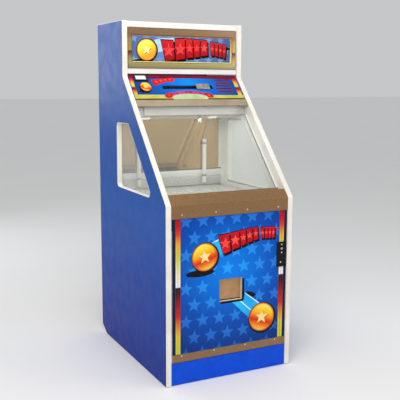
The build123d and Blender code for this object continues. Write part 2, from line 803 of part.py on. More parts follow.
# The rack hangs under the shelf's rear part. A gap of the rack stands over the pinion.
with BuildPart() as pusher_rack:
    root_z = RACK_PITCH_Z + 1.25 * MODULE
    tip_z = RACK_PITCH_Z - MODULE
    block(-GEAR_W / 2, GEAR_W / 2, RACK_START, RACK_END, root_z, SHELF_TOP - SHELF_WALL)
    half_root = TOOTH_PITCH / 4 - BACKLASH / 2 + (root_z - RACK_PITCH_Z) * tan(PRESSURE)
    half_tip = TOOTH_PITCH / 4 - BACKLASH / 2 - (RACK_PITCH_Z - tip_z) * tan(PRESSURE)
    teeth = int((RACK_END - PINION_DEPTH) / TOOTH_PITCH)
    for n in range(-2, teeth):
        middle = at(PINION_DEPTH + (n + 0.5) * TOOTH_PITCH)
        with BuildSketch(Plane.YZ.offset(-GEAR_W / 2)):
            with BuildLine():
                Polyline(
                    (middle - half_root, root_z),
                    (middle - half_tip, tip_z),
                    (middle + half_tip, tip_z),
                    (middle + half_root, root_z),
                    close=True,
                )
            make_face()
        extrude(amount=GEAR_W)
finish(pusher_rack, "pusher_rack")

SHAFT_R = 5
SHAFT_END = 60
with BuildPart() as drive_pinion:
    with BuildSketch(Plane.YZ.offset(-GEAR_W / 2)):
        with Locations((at(PINION_DEPTH), PINION_Z)):
            Circle(PITCH_R - 1.25 * MODULE)
        radii = [PITCH_R - 1.3 * MODULE, PITCH_R - 0.5 * MODULE, PITCH_R, PITCH_R + MODULE]
        for n in range(PINION_TEETH):
            up = pi / 2 + n * 2 * pi / PINION_TEETH
            left = [(r, up + tooth_half_angle(r)) for r in radii]
            right = [(r, up - tooth_half_angle(r)) for r in reversed(radii)]
            corners = [
                (at(PINION_DEPTH) + r * cos(a), PINION_Z + r * sin(a)) for r, a in left + right
            ]
            with BuildLine():
                Polyline(*corners, close=True)
            make_face()
    extrude(amount=GEAR_W)
    with BuildSketch(Plane.YZ.offset(-GEAR_W / 2 - 4)):
        with Locations((at(PINION_DEPTH), PINION_Z)):
            Circle(SHAFT_R)
    extrude(amount=SHAFT_END + GEAR_W / 2 + 4)
finish(drive_pinion, "drive_pinion")

GEARBOX_X = (26, 92)
with BuildPart() as drive_motor:
    block(*GEARBOX_X, PINION_DEPTH - 36, PINION_DEPTH + 36, 775, BED_TOP - THIN_BOARD)
    fillet(drive_motor.edges().filter_by(Axis.X).group_by(Axis.Z)[0], 8)
    with BuildSketch(Plane.YZ.offset(GEARBOX_X[1])):
        with Locations((at(PINION_DEPTH), 803)):
            Circle(28)
    extrude(amount=95)
    with BuildSketch(Plane.YZ.offset(GEARBOX_X[0])):
        with Locations((at(PINION_DEPTH), PINION_Z)):
            Circle(SHAFT_R + 0.08)
    extrude(amount=SHAFT_END - GEARBOX_X[0] + 2, mode=Mode.SUBTRACT)
finish(drive_motor, "drive_motor")

# ---------------------------------------------------------------- front door
DOOR_X = (-326.7, 327.5)
DOOR_Z = (118, 835)
DOOR_FACE = 9
ART_T = 2
TICKET_X = (-63, 67)
TICKET_Z = (396, 511)
LOCK_BARREL_R = 9.5
RETAINER_TOP = 158
RETAINER_SCREWS = (-273, -93, 88, 267)
RETAINER_SCREW_Z = 149

with BuildSketch() as door_outline:
    with Locations((sum(DOOR_X) / 2, sum(DOOR_Z) / 2)):
        Rectangle(DOOR_X[1] - DOOR_X[0], DOOR_Z[1] - DOOR_Z[0])
    with Locations((sum(TICKET_X) / 2, sum(TICKET_Z) / 2)):
        Rectangle(TICKET_X[1] - TICKET_X[0], TICKET_Z[1] - TICKET_Z[0], mode=Mode.SUBTRACT)
    with Locations((LOCK_X, LOCK_Z)):
        Circle(LOCK_BARREL_R, mode=Mode.SUBTRACT)

with BuildPart() as door_panel:
    with BuildSketch(front_plane(DOOR_FACE)):
        add(door_outline.sketch)
    extrude(amount=-BOARD)
    with BuildSketch(front_plane(DOOR_FACE)):
        with Locations(*[(x, RETAINER_SCREW_Z) for x in RETAINER_SCREWS]):
            Circle(SCREW_R)
    extrude(amount=-14, mode=Mode.SUBTRACT)
finish(door_panel, "door_panel")

with BuildPart() as door_artwork:
    with BuildSketch(front_plane(DOOR_FACE - ART_T)):
        add(door_outline.sketch)
    extrude(amount=-ART_T)
    with BuildSketch(front_plane(DOOR_FACE - ART_T)):
        with Locations(*[(x, RETAINER_SCREW_Z) for x in RETAINER_SCREWS]):
            Circle(SCREW_R)
    extrude(amount=-ART_T, mode=Mode.SUBTRACT)
finish(door_artwork, "door_artwork")

RETAINER_FACE = DOOR_FACE - ART_T - SHEET
with BuildPart() as door_retainer:
    block(*DOOR_X, RETAINER_FACE, DOOR_FACE - ART_T, DOOR_Z[0], RETAINER_TOP)
    with BuildSketch(front_plane(RETAINER_FACE)):
        with Locations(*[(x, RETAINER_SCREW_Z) for x in RETAINER_SCREWS]):
            Circle(SCREW_R)
    extrude(amount=-SHEET, mode=Mode.SUBTRACT)
finish(door_retainer, "door_retainer")

with BuildPart() as retainer_screws:
    spots = [(x, RETAINER_SCREW_Z) for x in RETAINER_SCREWS]
    add(pan_head_screws(front_plane(RETAINER_FACE), spots, 17))
finish(retainer_screws, "retainer_screws")

# Piano hinge up the door's left edge: knuckles in front, leaves between door and panel.
PIN_R = 1.0
KNUCKLE_R = 2.3
HINGE_X = -INNER + KNUCKLE_R
HINGE_DEPTH = 2.4
KNUCKLE = 55
LEAF_T = 1.2
HINGE_Z = (DOOR_Z[0] + 4, DOOR_Z[1] - 4)
knuckles = int((HINGE_Z[1] - HINGE_Z[0]) / KNUCKLE)

# Each leaf is a strip with every second knuckle.
for name, first, leaf_x in (
    ("door_hinge_frame_leaf", 0, -INNER),
    ("door_hinge_door_leaf", 1, DOOR_X[0] - LEAF_T),
):
    with BuildPart() as hinge_leaf:
        leaf_span = (leaf_x, leaf_x + LEAF_T)
        block(*leaf_span, HINGE_DEPTH + 2.5, DOOR_FACE + BOARD - 2, *HINGE_Z)
        for n in range(first, knuckles, 2):
            z0 = HINGE_Z[0] + n * KNUCKLE
            with BuildSketch(Plane.XY.offset(z0)):
                with Locations((HINGE_X, at(HINGE_DEPTH))):
                    Circle(KNUCKLE_R)
            extrude(amount=KNUCKLE - 0.5)
            block(*leaf_span, HINGE_DEPTH, HINGE_DEPTH + 3, z0, z0 + KNUCKLE - 0.5)
        with BuildSketch(Plane.XY.offset(HINGE_Z[0] - 1)):
            with Locations((HINGE_X, at(HINGE_DEPTH))):
                Circle(PIN_R + 0.05)
        extrude(amount=HINGE_Z[1] - HINGE_Z[0] + 2, mode=Mode.SUBTRACT)
        if name == "door_hinge_frame_leaf":
            # The pin stays with the frame's knuckles, as a solid of its own.
            with BuildSketch(Plane.XY.offset(HINGE_Z[0])):
                with Locations((HINGE_X, at(HINGE_DEPTH))):
                    Circle(PIN_R)
            extrude(amount=knuckles * KNUCKLE - 0.5)
    finish(hinge_leaf, name)

LOCK_PLATE_X = (269, 327)
LOCK_PLATE_Z = (540, 671)
LOCK_PLATE_T = 3
PLUG_R = 6
LOCK_PLATE_SCREWS = ((LOCK_X, 657), (LOCK_X, 615), (LOCK_X - 5, 564))
lock_face = DOOR_FACE - ART_T - LOCK_PLATE_T

with BuildPart() as lock_plate:
    block(*LOCK_PLATE_X, lock_face, DOOR_FACE - ART_T, *LOCK_PLATE_Z)
    fillet(lock_plate.edges().filter_by(Axis.Y), 3)
    with BuildSketch(front_plane(lock_face)):
        with Locations((LOCK_X, LOCK_Z)):
            Circle(LOCK_BARREL_R + 1.5)
    extrude(amount=1.5)
    with BuildSketch(front_plane(lock_face)):
        with Locations((LOCK_X, LOCK_Z)):
            Circle(LOCK_BARREL_R)
    extrude(amount=-(CAM_DEPTH - 1 - lock_face))
    with BuildSketch(front_plane(lock_face)):
        with Locations(*LOCK_PLATE_SCREWS):
            Circle(3.5)
    extrude(amount=1.5, taper=20)
    with BuildSketch(front_plane(0)):
        with Locations((LOCK_X, LOCK_Z)):
            Circle(PLUG_R + 0.06)
    extrude(amount=-60, mode=Mode.SUBTRACT)
finish(lock_plate, "lock_plate")


def lock_plug(face, x, z, length, cam_side):
    """Key plug whose keyway lies on a face, with the flat cam on its inner end."""
    cam_z = z + cam_side * (CAM_REACH - CAM_WIDTH / 2) / 2
    with BuildPart() as plug:
        with BuildSketch(face):
            with Locations((x, z)):
                Circle(PLUG_R)
        extrude(amount=-length)
        with BuildSketch(face):
            with Locations((x, z)):
                Rectangle(2, 8)
        extrude(amount=-6, mode=Mode.SUBTRACT)
        with BuildSketch(face.offset(-length)):
            with Locations((x, cam_z)):
                SlotOverall(CAM_REACH + CAM_WIDTH / 2, CAM_WIDTH, rotation=90)
        extrude(amount=-CAM_T)
    return plug.part


plug_face = lock_face - 2
with BuildPart() as door_lock_plug:
    add(lock_plug(front_plane(plug_face), LOCK_X, LOCK_Z, CAM_DEPTH - plug_face, -1))
finish(door_lock_plug, "door_lock_plug")

# Plate behind the ticket opening. Tickets come out through the gap below it.
TICKET_GAP = 5
door_back = DOOR_FACE + BOARD
with BuildPart() as ticket_plate:
    block(
        TICKET_X[0] - 15,
        TICKET_X[1] + 15,
        door_back,
        door_back + SHEET,
        TICKET_Z[0] + TICKET_GAP,
        TICKET_Z[1] + 15,
    )
finish(ticket_plate, "ticket_plate")

DISPENSER_X = (-38, 42)
ROLLER_DEPTH = 62
ROLLER_Z = 372
ROLLER_R = 18
with BuildPart() as ticket_dispenser:
    block(DISPENSER_X[0] - 8, DISPENSER_X[1] + 8, door_back, door_back + 3, 322, TICKET_Z[0] - 2)
    block(*DISPENSER_X, door_back, 122, 325, TICKET_Z[0] - 2)
    block(
        DISPENSER_X[0] + 3,
        DISPENSER_X[1] - 3,
        door_back + 3,
        119,
        328,
        TICKET_Z[0],
        mode=Mode.SUBTRACT,
    )
    with BuildSketch(Plane.YZ.offset(DISPENSER_X[0])):
        with Locations((at(ROLLER_DEPTH), ROLLER_Z)):
            Circle(3.08)
    extrude(amount=DISPENSER_X[1] - DISPENSER_X[0], mode=Mode.SUBTRACT)
finish(ticket_dispenser, "ticket_dispenser")

with BuildPart() as ticket_roller:
    with BuildSketch(Plane.YZ.offset(DISPENSER_X[0] + 6)):
        with Locations((at(ROLLER_DEPTH), ROLLER_Z)):
            Circle(ROLLER_R)
    extrude(amount=DISPENSER_X[1] - DISPENSER_X[0] - 12)
    with BuildSketch(Plane.YZ.offset(DISPENSER_X[0] - 1)):
        with Locations((at(ROLLER_DEPTH), ROLLER_Z)):
            Circle(3)
    extrude(amount=DISPENSER_X[1] - DISPENSER_X[0] + 2)
finish(ticket_roller, "ticket_roller")

# ---------------------------------------------------------------- rear panels
REAR_SPLIT = 700
REAR_LOW = 170
rear_inside = REAR_FACE - THIN_BOARD

with BuildPart() as rear_upper_panel:
    block(-INNER, INNER, rear_inside, REAR_FACE, REAR_SPLIT, TOP_Z)
finish(rear_upper_panel, "rear_upper_panel")

REAR_LOCK_Z = 660
VENT = (8, 70)
with BuildPart() as rear_access_panel:
    block(-INNER + 2, INNER - 2, rear_inside, REAR_FACE, REAR_LOW + 2, REAR_SPLIT - 2)
    with BuildSketch(rear_plane(REAR_FACE)):
        for row_z in (250, 540):
            with Locations((0, row_z)):
                with GridLocations(20, 0, 12, 1):
                    SlotOverall(VENT[1], VENT[0], rotation=90)
        with Locations((0, REAR_LOCK_Z)):
            Circle(LOCK_BARREL_R)
    extrude(amount=-THIN_BOARD, mode=Mode.SUBTRACT)
finish(rear_access_panel, "rear_access_panel")

with BuildPart() as rear_lock_body:
    with BuildSketch(rear_plane(REAR_FACE)):
        with Locations((0, REAR_LOCK_Z)):
            Circle(LOCK_BARREL_R + 3)
    extrude(amount=3)
    with BuildSketch(rear_plane(REAR_FACE)):
        with Locations((0, REAR_LOCK_Z)):
            Circle(LOCK_BARREL_R)
    extrude(amount=-18)
    with BuildSketch(rear_plane(REAR_FACE + 4)):
        with Locations((0, REAR_LOCK_Z)):
            Circle(PLUG_R + 0.06)
    extrude(amount=-40, mode=Mode.SUBTRACT)
finish(rear_lock_body, "rear_lock_body")

with BuildPart() as rear_lock_plug:
    add(lock_plug(rear_plane(REAR_FACE + 3.5), 0, REAR_LOCK_Z, 22.5, 1))
finish(rear_lock_plug, "rear_lock_plug")

INLET_X = 230
INLET_Z = 128
INLET_FLANGE = (30, 60)
ROCKER_Z = INLET_Z + 12
SOCKET_Z = INLET_Z - 12
SOCKET = (24, 17)
ROCKER_W = 14
ROCKER_H = 21
ROCKER_TILT = 8

with BuildPart() as rear_lower_rail:
    block(-INNER, INNER, rear_inside, REAR_FACE, BASE_Z, REAR_LOW)
    with BuildSketch(rear_plane(REAR_FACE)):
        with Locations((INLET_X, INLET_Z)):
            Rectangle(INLET_FLANGE[0] - 3, INLET_FLANGE[1] - 8)
    extrude(amount=-THIN_BOARD, mode=Mode.SUBTRACT)
finish(rear_lower_rail, "rear_lower_rail")

with BuildPart() as power_inlet:
    with BuildSketch(rear_plane(REAR_FACE)):
        with Locations((INLET_X, INLET_Z)):
            RectangleRounded(*INLET_FLANGE, 3)
    extrude(amount=3)
    with BuildSketch(rear_plane(REAR_FACE)):
        with Locations((INLET_X, INLET_Z)):
            Rectangle(INLET_FLANGE[0] - 3, INLET_FLANGE[1] - 8)
    extrude(amount=-26)
    # Socket for a mains lead, with its three pins.
    with BuildSketch(rear_plane(REAR_FACE + 3)):
        with Locations((INLET_X, SOCKET_Z)):
            RectangleRounded(*SOCKET, 3)
    extrude(amount=-19, mode=Mode.SUBTRACT)
    with BuildSketch(rear_plane(REAR_FACE + 3 - 19)):
        with Locations((INLET_X - 7, SOCKET_Z), (INLET_X, SOCKET_Z + 2), (INLET_X + 7, SOCKET_Z)):
            Rectangle(2, 5)
    extrude(amount=12)
    # Pocket for the rocker.
    with BuildSketch(rear_plane(REAR_FACE + 3)):
        with Locations((INLET_X, ROCKER_Z)):
            Rectangle(ROCKER_W + 1, ROCKER_H + 1)
    extrude(amount=-15, mode=Mode.SUBTRACT)
finish(power_inlet, "power_inlet")

# The rocker rests tipped to its "off" side.
rocker_axis_depth = REAR_FACE - 3
with BuildPart() as power_rocker:
    tilt = radians(ROCKER_TILT)
    rocker_side = Plane(
        origin=(-INLET_X - ROCKER_W / 2, at(rocker_axis_depth), ROCKER_Z),
        x_dir=(0, cos(tilt), sin(tilt)),
        z_dir=(1, 0, 0),
    )
    with BuildSketch(rocker_side):
        with BuildLine():
            Polyline(
                (-2, -ROCKER_H / 2 + 1),
                (6, -ROCKER_H / 2 + 0.6),
                (4.5, 0),
                (6, ROCKER_H / 2 - 0.6),
                (-2, ROCKER_H / 2 - 1),
                (-6, 0),
                close=True,
            )
        make_face()
    extrude(amount=ROCKER_W)
finish(power_rocker, "power_rocker")
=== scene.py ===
import bmesh
import bpy
from math import pi, radians, tan
from mathutils import Matrix, Vector


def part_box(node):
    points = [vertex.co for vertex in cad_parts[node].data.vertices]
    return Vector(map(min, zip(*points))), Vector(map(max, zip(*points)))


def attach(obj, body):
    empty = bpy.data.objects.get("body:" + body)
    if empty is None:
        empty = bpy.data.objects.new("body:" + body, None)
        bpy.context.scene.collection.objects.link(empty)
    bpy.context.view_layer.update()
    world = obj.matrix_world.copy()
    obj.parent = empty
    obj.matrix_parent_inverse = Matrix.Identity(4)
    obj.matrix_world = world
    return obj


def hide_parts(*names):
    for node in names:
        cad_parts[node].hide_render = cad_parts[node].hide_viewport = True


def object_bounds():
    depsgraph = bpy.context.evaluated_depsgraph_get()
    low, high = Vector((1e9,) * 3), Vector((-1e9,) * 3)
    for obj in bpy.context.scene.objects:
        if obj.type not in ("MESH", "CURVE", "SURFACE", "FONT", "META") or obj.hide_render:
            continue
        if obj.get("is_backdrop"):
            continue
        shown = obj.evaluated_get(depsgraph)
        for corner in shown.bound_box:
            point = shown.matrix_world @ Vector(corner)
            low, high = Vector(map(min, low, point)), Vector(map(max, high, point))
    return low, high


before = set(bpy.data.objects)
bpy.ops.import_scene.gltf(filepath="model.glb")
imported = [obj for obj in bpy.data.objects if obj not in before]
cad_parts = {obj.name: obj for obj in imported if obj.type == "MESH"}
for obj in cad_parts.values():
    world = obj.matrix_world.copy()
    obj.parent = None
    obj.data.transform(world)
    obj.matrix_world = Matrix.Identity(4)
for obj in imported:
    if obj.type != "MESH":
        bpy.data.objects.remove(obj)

cad_low, cad_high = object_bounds()

# ---- side panels
# Two 28 mm boards cut to the cabinet's outline, faced with blue high-pressure laminate outside
# and with white inside. Laminate is paper pressed under melamine: low gloss, a faint ripple.
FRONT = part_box("edge_mouldings")[0].y
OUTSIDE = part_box("edge_mouldings")[1].x
BOARD = 0.028


def linear(hex_colour):
    """An sRGB hex colour as the linear RGBA that a shader wants."""
    parts = [int(hex_colour[i : i + 2], 16) / 255 for i in (1, 3, 5)]
    return [c / 12.92 if c <= 0.04045 else ((c + 0.055) / 1.055) ** 2.4 for c in parts] + [1]


def add_node(tree, kind, values=None, links=None, stops=(), **settings):
    """Add one node: its settings, its inputs' values, the sockets that feed them and the
    (place, hex colour) stops of its ramp."""
    new = tree.nodes.new(kind)
    for name, setting in settings.items():
        setattr(new, name, setting)
    for name, value in (values or {}).items():
        new.inputs[name].default_value = value
    for name, socket in (links or {}).items():
        tree.links.new(socket, new.inputs[name])
    for _ in stops[2:]:
        new.color_ramp.elements.new(0.5)
    for number, (where, hex_colour) in enumerate(stops):
        new.color_ramp.elements[number].position = where
        new.color_ramp.elements[number].color = linear(hex_colour)
    return new


def new_finish(name, values):
    """Start a material: its tree, its Principled shader and the object coordinates."""
    material = bpy.data.materials.new(name)
    material.use_nodes = True
    tree = material.node_tree
    tree.nodes.clear()
    shader = add_node(tree, "ShaderNodeBsdfPrincipled", values)
    add_node(tree, "ShaderNodeOutputMaterial", links={"Surface": shader.outputs["BSDF"]})
    place = add_node(tree, "ShaderNodeTexCoord").outputs["Object"]
    return material, tree, shader, place


def patches(tree, place, size_mm, detail=3, stretch=None):
    """A value that drifts between 0 and 1 over patches of a real size, drawn out by a stretch."""
    if stretch:
        drawn_out = add_node(tree, "ShaderNodeMapping", {"Scale": stretch}, {"Vector": place})
        place = drawn_out.outputs["Vector"]
    noise = add_node(
        tree, "ShaderNodeTexNoise", {"Scale": 1000 / size_mm, "Detail": detail}, {"Vector": place}
    )
    return noise.outputs["Fac"]


def tint(tree, shader, amount, stops):
    """Run the base colour through stops."""
    tone = add_node(tree, "ShaderNodeValToRGB", links={"Fac": amount}, stops=stops)
    tree.links.new(tone.outputs["Color"], shader.inputs["Base Color"])


def vary_gloss(tree, shader, amount, smooth, dull):
    """Let the roughness drift between two values, as handling and wiping leave it."""
    spread = add_node(
        tree,
        "ShaderNodeMapRange",
        {"From Min": 0.35, "From Max": 0.65, "To Min": smooth, "To Max": dull},
        {"Value": amount},
    )
    tree.links.new(spread.outputs["Result"], shader.inputs["Roughness"])


def raise_grain(tree, shader, height, depth_mm, strength=1.0):
    """Bump the surface by a height that runs from 0 to 1."""
    bump = add_node(
        tree,
        "ShaderNodeBump",
        {"Strength": strength, "Distance": depth_mm / 1000},
        {"Height": height},
    )
    tree.links.new(bump.outputs["Normal"], shader.inputs["Normal"])


def dress(material, *nodes):
    """Give CAD nodes their finish."""
    for node in nodes:
        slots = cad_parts[node].material_slots
        for one in slots:
            one.material = material
        if not slots:
            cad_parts[node].data.materials.append(material)


def by_height(low, high):
    """Picks a tone by height between two levels, as a split-fount print does; on the side panels it
    paints a sheen.
    """

    def share(tree, place):
        height = add_node(tree, "ShaderNodeSeparateXYZ", links={"Vector": place}).outputs["Z"]
        level = add_node(
            tree, "ShaderNodeMapRange", {"From Min": low, "From Max": high}, {"Value": height}
        )
        return level.outputs["Result"]

    return share


# High-pressure laminate, pressed against fine-textured steel. Its blue is painted paler towards its
# top: a painted sheen standing in for the bright surroundings that the upper panel reflects.
# The ripple is 6 mm across, coarser than the real 0.5 mm, so that it shows.
laminate, tree, shader, place = new_finish(
    "pressed_blue_laminate", {"IOR": 1.5, "Specular IOR Level": 0.08}
)
# Painted sheen: the blue face runs paler with height.
blue_face_with_painted_sheen = add_node(
    tree,
    "ShaderNodeValToRGB",
    links={"Fac": by_height(0.1, 1.3)(tree, place)},
    stops=[(0.0, "#002C90"), (0.3, "#063FA0"), (0.6, "#1C54AA"), (1.0, "#1A52A6")],
)
white_face = add_node(
    tree,
    "ShaderNodeValToRGB",
    links={"Fac": patches(tree, place, 150)},
    stops=[(0.3, "#DDDCD6"), (0.7, "#E8E7E1")],
)
across = add_node(tree, "ShaderNodeSeparateXYZ", links={"Vector": place}).outputs["X"]
off_middle = add_node(tree, "ShaderNodeMath", links={0: across}, operation="ABSOLUTE")
outside = add_node(
    tree,
    "ShaderNodeMath",
    {1: OUTSIDE - BOARD + 0.0005},
    {0: off_middle.outputs["Value"]},
    operation="GREATER_THAN",
)
faced = add_node(
    tree,
    "ShaderNodeMix",
    links={
        0: outside.outputs["Value"],
        6: white_face.outputs["Color"],
        7: blue_face_with_painted_sheen.outputs["Color"],
    },
    data_type="RGBA",
)
tree.links.new(faced.outputs[2], shader.inputs["Base Color"])
vary_gloss(tree, shader, patches(tree, place, 70), 0.3, 0.4)
raise_grain(tree, shader, patches(tree, place, 6, 1), 0.03, 0.35)
dress(laminate, "left_side_panel", "right_side_panel")

# ---- edge mouldings
# White extruded PVC T-moulding, crowned across its width, its barb pushed into a groove
# in the board's edge. It runs round each side panel except along the floor.
CROWN = 0.003
SILHOUETTE = (
    (0, 0, 0), (0, 904, 20), (552, 1510, 20), (552, 1800, 12), (945, 1800, 12), (945, 42, 20),
    (869, 0, 0),
)


def smooth_mesh(bm):
    """A finished bmesh as a mesh, its normals outward and its sharp edges kept."""
    bmesh.ops.recalc_face_normals(bm, faces=bm.faces[:])
    mesh = bpy.data.meshes.new("mesh")
    bm.to_mesh(mesh)
    bm.free()
    mesh.shade_smooth()
    mesh.set_sharp_from_angle(angle=radians(32))
    return mesh


def piece(name, bm, material, body="cabinet", stands_for=(), slot=None):
    """Turn a finished bmesh into a piece that rides on a body."""
    obj = bpy.data.objects.new(name, smooth_mesh(bm))
    obj.data.name = name
    obj.data.materials.append(material)
    bpy.context.scene.collection.objects.link(obj)
    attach(obj, body)
    if stands_for:
        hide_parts(*stands_for)


def ease(bm, geom, offset, segments=2, affect="EDGES"):
    """Round edges or corners off."""
    bmesh.ops.bevel(
        bm, geom=geom, offset=offset, affect=affect, segments=segments, profile=0.5, material=-1
    )


def thicken(bm, lift):
    """Draw flat shapes out into solids."""
    made = bmesh.ops.extrude_face_region(bm, geom=bm.faces[:])["geom"]
    lifted = [part for part in made if isinstance(part, bmesh.types.BMVert)]
    bmesh.ops.translate(bm, vec=lift, verts=lifted)


def cut_off(bm, spot, way):
    """Cut off all that lies beyond a spot, that way."""
    whole = bm.verts[:] + bm.edges[:] + bm.faces[:]
    bmesh.ops.bisect_plane(bm, geom=whole, plane_co=spot, plane_no=way, clear_outer=True)


def board_outline(bm, corners):
    """A face in the YZ plane through (depth, height, corner radius) in millimetres."""
    spots = [bm.verts.new((0, FRONT + depth / 1000, z / 1000)) for depth, z, _ in corners]
    bm.faces.new(spots)
    for spot, (_, _, radius) in zip(spots, corners):
        if radius:
            one, other = [edge.other_vert(spot).co - spot.co for edge in spot.link_edges]
            run = radius / 1000 / tan(one.angle(other) / 2)
            ease(bm, [spot], run, 6, "VERTICES")


def moulding(bm, corners, crown_inside):
    """A crowned strip CROWN thick and as wide as the board, round an outline."""
    board_outline(bm, corners)
    thicken(bm, (BOARD, 0, 0))
    bmesh.ops.recalc_face_normals(bm, faces=bm.faces[:])
    caps = [face for face in bm.faces if abs(face.normal.x) > 0.9]
    outer_rims = [edge for cap in caps for edge in cap.edges]
    for cap in caps:
        bmesh.ops.inset_region(bm, faces=[cap], thickness=CROWN, use_even_offset=True)
    inner_rims = [edge for cap in caps for edge in cap.edges]
    bmesh.ops.delete(bm, geom=caps, context="FACES_ONLY")
    bmesh.ops.bridge_loops(bm, edges=inner_rims)
    ease(bm, inner_rims if crown_inside else outer_rims, CROWN * 0.85, 4)


def on_both_sides(bm):
    """Stand a moulding on the left board and a twin of it on the right board."""
    bmesh.ops.translate(bm, vec=(-OUTSIDE, 0, 0), verts=bm.verts)
    twin = bmesh.ops.duplicate(bm, geom=bm.faces[:])["geom"]
    bmesh.ops.translate(
        bm,
        vec=(2 * OUTSIDE - BOARD, 0, 0),
        verts=[part for part in twin if isinstance(part, bmesh.types.BMVert)],
    )


def drift(dark, light, low=0.3):
    """Stops from a dark tone to a light one, the same distance in from both ends."""
    return [(low, dark), (1 - low, light)]


def mottled(name, values, tones, gloss, grain=(), details=(3, 3, 1)):
    """A finish that drifts over patches of real sizes, in millimetres: its tones between two
    colours, its gloss between two roughnesses and its grain up to a depth."""
    material, tree, shader, place = new_finish(name, values)
    size_mm, *colours = tones
    tint(tree, shader, patches(tree, place, size_mm, details[0]), drift(*colours))
    size_mm, smooth, dull = gloss
    vary_gloss(tree, shader, patches(tree, place, size_mm, details[1]), smooth, dull)
    if grain:
        size_mm, depth_mm = grain
        raise_grain(tree, shader, patches(tree, place, size_mm, details[2]), depth_mm)
    return material


# Extruded PVC: a soft satin skin that yellows a little and holds fine grime.
pvc = mottled(
    "extruded_white_pvc",
    {"IOR": 1.53},
    (90, "#E2DFD4", "#EDEBE3", 0.35),
    (25, 0.3, 0.45),
    (3, 0.02),
    details=(3, 3, 2),
)

edging = bmesh.new()
moulding(edging, SILHOUETTE, crown_inside=False)
floor_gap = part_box("edge_mouldings")[0].z
cut_off(edging, (0, 0, floor_gap), (0, 0, -1))
bmesh.ops.holes_fill(edging, edges=[e for e in edging.edges if e.is_boundary], sides=0)
on_both_sides(edging)
piece("edge_moulding_strips", edging, pvc, stands_for=["edge_mouldings"], slot="white_trim")

# ---- window mouldings
# The same white extrusion turned inward, round the edge of each side window.
WINDOW = ((653, 1268, 25), (475, 1268, 25), (160, 916, 25), (653, 916, 25))

sash = bmesh.new()
moulding(sash, WINDOW, crown_inside=True)
on_both_sides(sash)
piece("window_moulding_strips", sash, pvc, stands_for=["window_mouldings"], slot="white_trim")

# ---- window panes and wall liners
# Panes of clear cast acrylic, and round them white melamine-faced liners in the same layer,
# both held to the side panels from the inside.


def clear_sheet(name, tone, share, ior):
    """See-through sheet: clear inside, with its surface's own reflection over it."""
    material, tree, shader, place = new_finish(name, {"IOR": ior, "Base Color": linear(tone)})
    vary_gloss(tree, shader, patches(tree, place, 120), 0.02, 0.06)
    through = add_node(tree, "ShaderNodeBsdfTransparent", {"Color": linear(tone)})
    facing = add_node(tree, "ShaderNodeLayerWeight", {"Blend": 0.12})
    amount = add_node(
        tree,
        "ShaderNodeMapRange",
        {"To Min": share, "To Max": 0.8},
        {"Value": facing.outputs["Facing"]},
    )
    both = add_node(
        tree,
        "ShaderNodeMixShader",
        links={
            "Fac": amount.outputs["Result"],
            1: through.outputs["BSDF"],
            2: shader.outputs["BSDF"],
        },
    )
    output = next(n for n in tree.nodes if n.type == "OUTPUT_MATERIAL")
    tree.links.new(both.outputs["Shader"], output.inputs["Surface"])
    return material


# Cast acrylic: nearly colourless, with a light haze of wiping scratches.
dress(clear_sheet("cast_clear_acrylic", "#F8F9F8", 0.04, 1.49), "window_panes")

# Melamine-faced chipboard: off-white paper, matt, with a fine pressed pearl.
melamine = mottled(
    "white_melamine_board", {"IOR": 1.5}, (150, "#CFCFCD", "#DCDCDA"), (40, 0.42, 0.55), (2.5, 0.03)
)
dress(melamine, "wall_liners")

# ---- base, kick panel, feet, casters
# A plywood base board between the sides, a bright blue laminate kick panel, four zinc-plated
# levelling feet with moulded pads, and two tipping casters in pressed steel forks.

# Birch plywood, sanded and unfinished: 1.5 mm growth figure drawn out along the board.
plywood, tree, shader, place = new_finish("sanded_birch_plywood", {"IOR": 1.45})
figure = patches(tree, place, 9, 6, (0.08, 1, 1))
tint(tree, shader, figure, [(0.3, "#B08D5E"), (0.5, "#C5A475"), (0.7, "#D2B68A")])
vary_gloss(tree, shader, figure, 0.6, 0.75)
raise_grain(tree, shader, figure, 0.1)
dress(plywood, "base_board", "front_cross_rail")

# The kick panel's laminate is a brighter blue, scuffed by shoes near the floor.
kick_blue, tree, shader, place = new_finish(
    "pressed_bright_blue_laminate", {"IOR": 1.5, "Specular IOR Level": 0.15}
)
scuffs = patches(tree, place, 35, 6)
tint(tree, shader, scuffs, [(0.3, "#0146CC"), (0.68, "#0250DA"), (0.8, "#1458D0")])
vary_gloss(tree, shader, scuffs, 0.28, 0.5)
dress(kick_blue, "kick_panel")

# Zinc-plated steel over a black polyamide pad: the pad ends 10 mm up the foot.
foot, tree, shader, place = new_finish("zinc_stud_on_polyamide_pad", {})
height = add_node(tree, "ShaderNodeSeparateXYZ", links={"Vector": place}).outputs["Z"]
above = add_node(
    tree, "ShaderNodeMath", {1: 0.0101}, {0: height}, operation="GREATER_THAN"
).outputs["Value"]
tint(tree, shader, above, [(0.0, "#141414"), (1.0, "#B9BABB")])
tree.links.new(above, shader.inputs["Metallic"])
vary_gloss(tree, shader, patches(tree, place, 8), 0.32, 0.5)
dress(foot, "levelling_feet")

# Pressed steel, bright zinc plate with a faint blue passivate and spangle.
zinc = mottled("zinc_plated_steel", {"Metallic": 1.0}, (12, "#A9ACAE", "#C4C6C8"), (5, 0.28, 0.42))
dress(zinc, "caster_brackets")


def by_distance(centre, reach, stretch=(1, 1, 1)):
    """Picks a tone by distance from a centre, for a hub inside its tyre or a printed glow."""

    def share(tree, place):
        from_centre = add_node(
            tree,
            "ShaderNodeMapping",
            {"Location": -Vector(centre) * Vector(stretch), "Scale": stretch},
            {"Vector": place},
        ).outputs["Vector"]
        length = add_node(
            tree, "ShaderNodeVectorMath", links={0: from_centre}, operation="LENGTH"
        ).outputs["Value"]
        level = add_node(tree, "ShaderNodeMapRange", {"From Max": reach}, {"Value": length})
        return level.outputs["Result"]

    return share


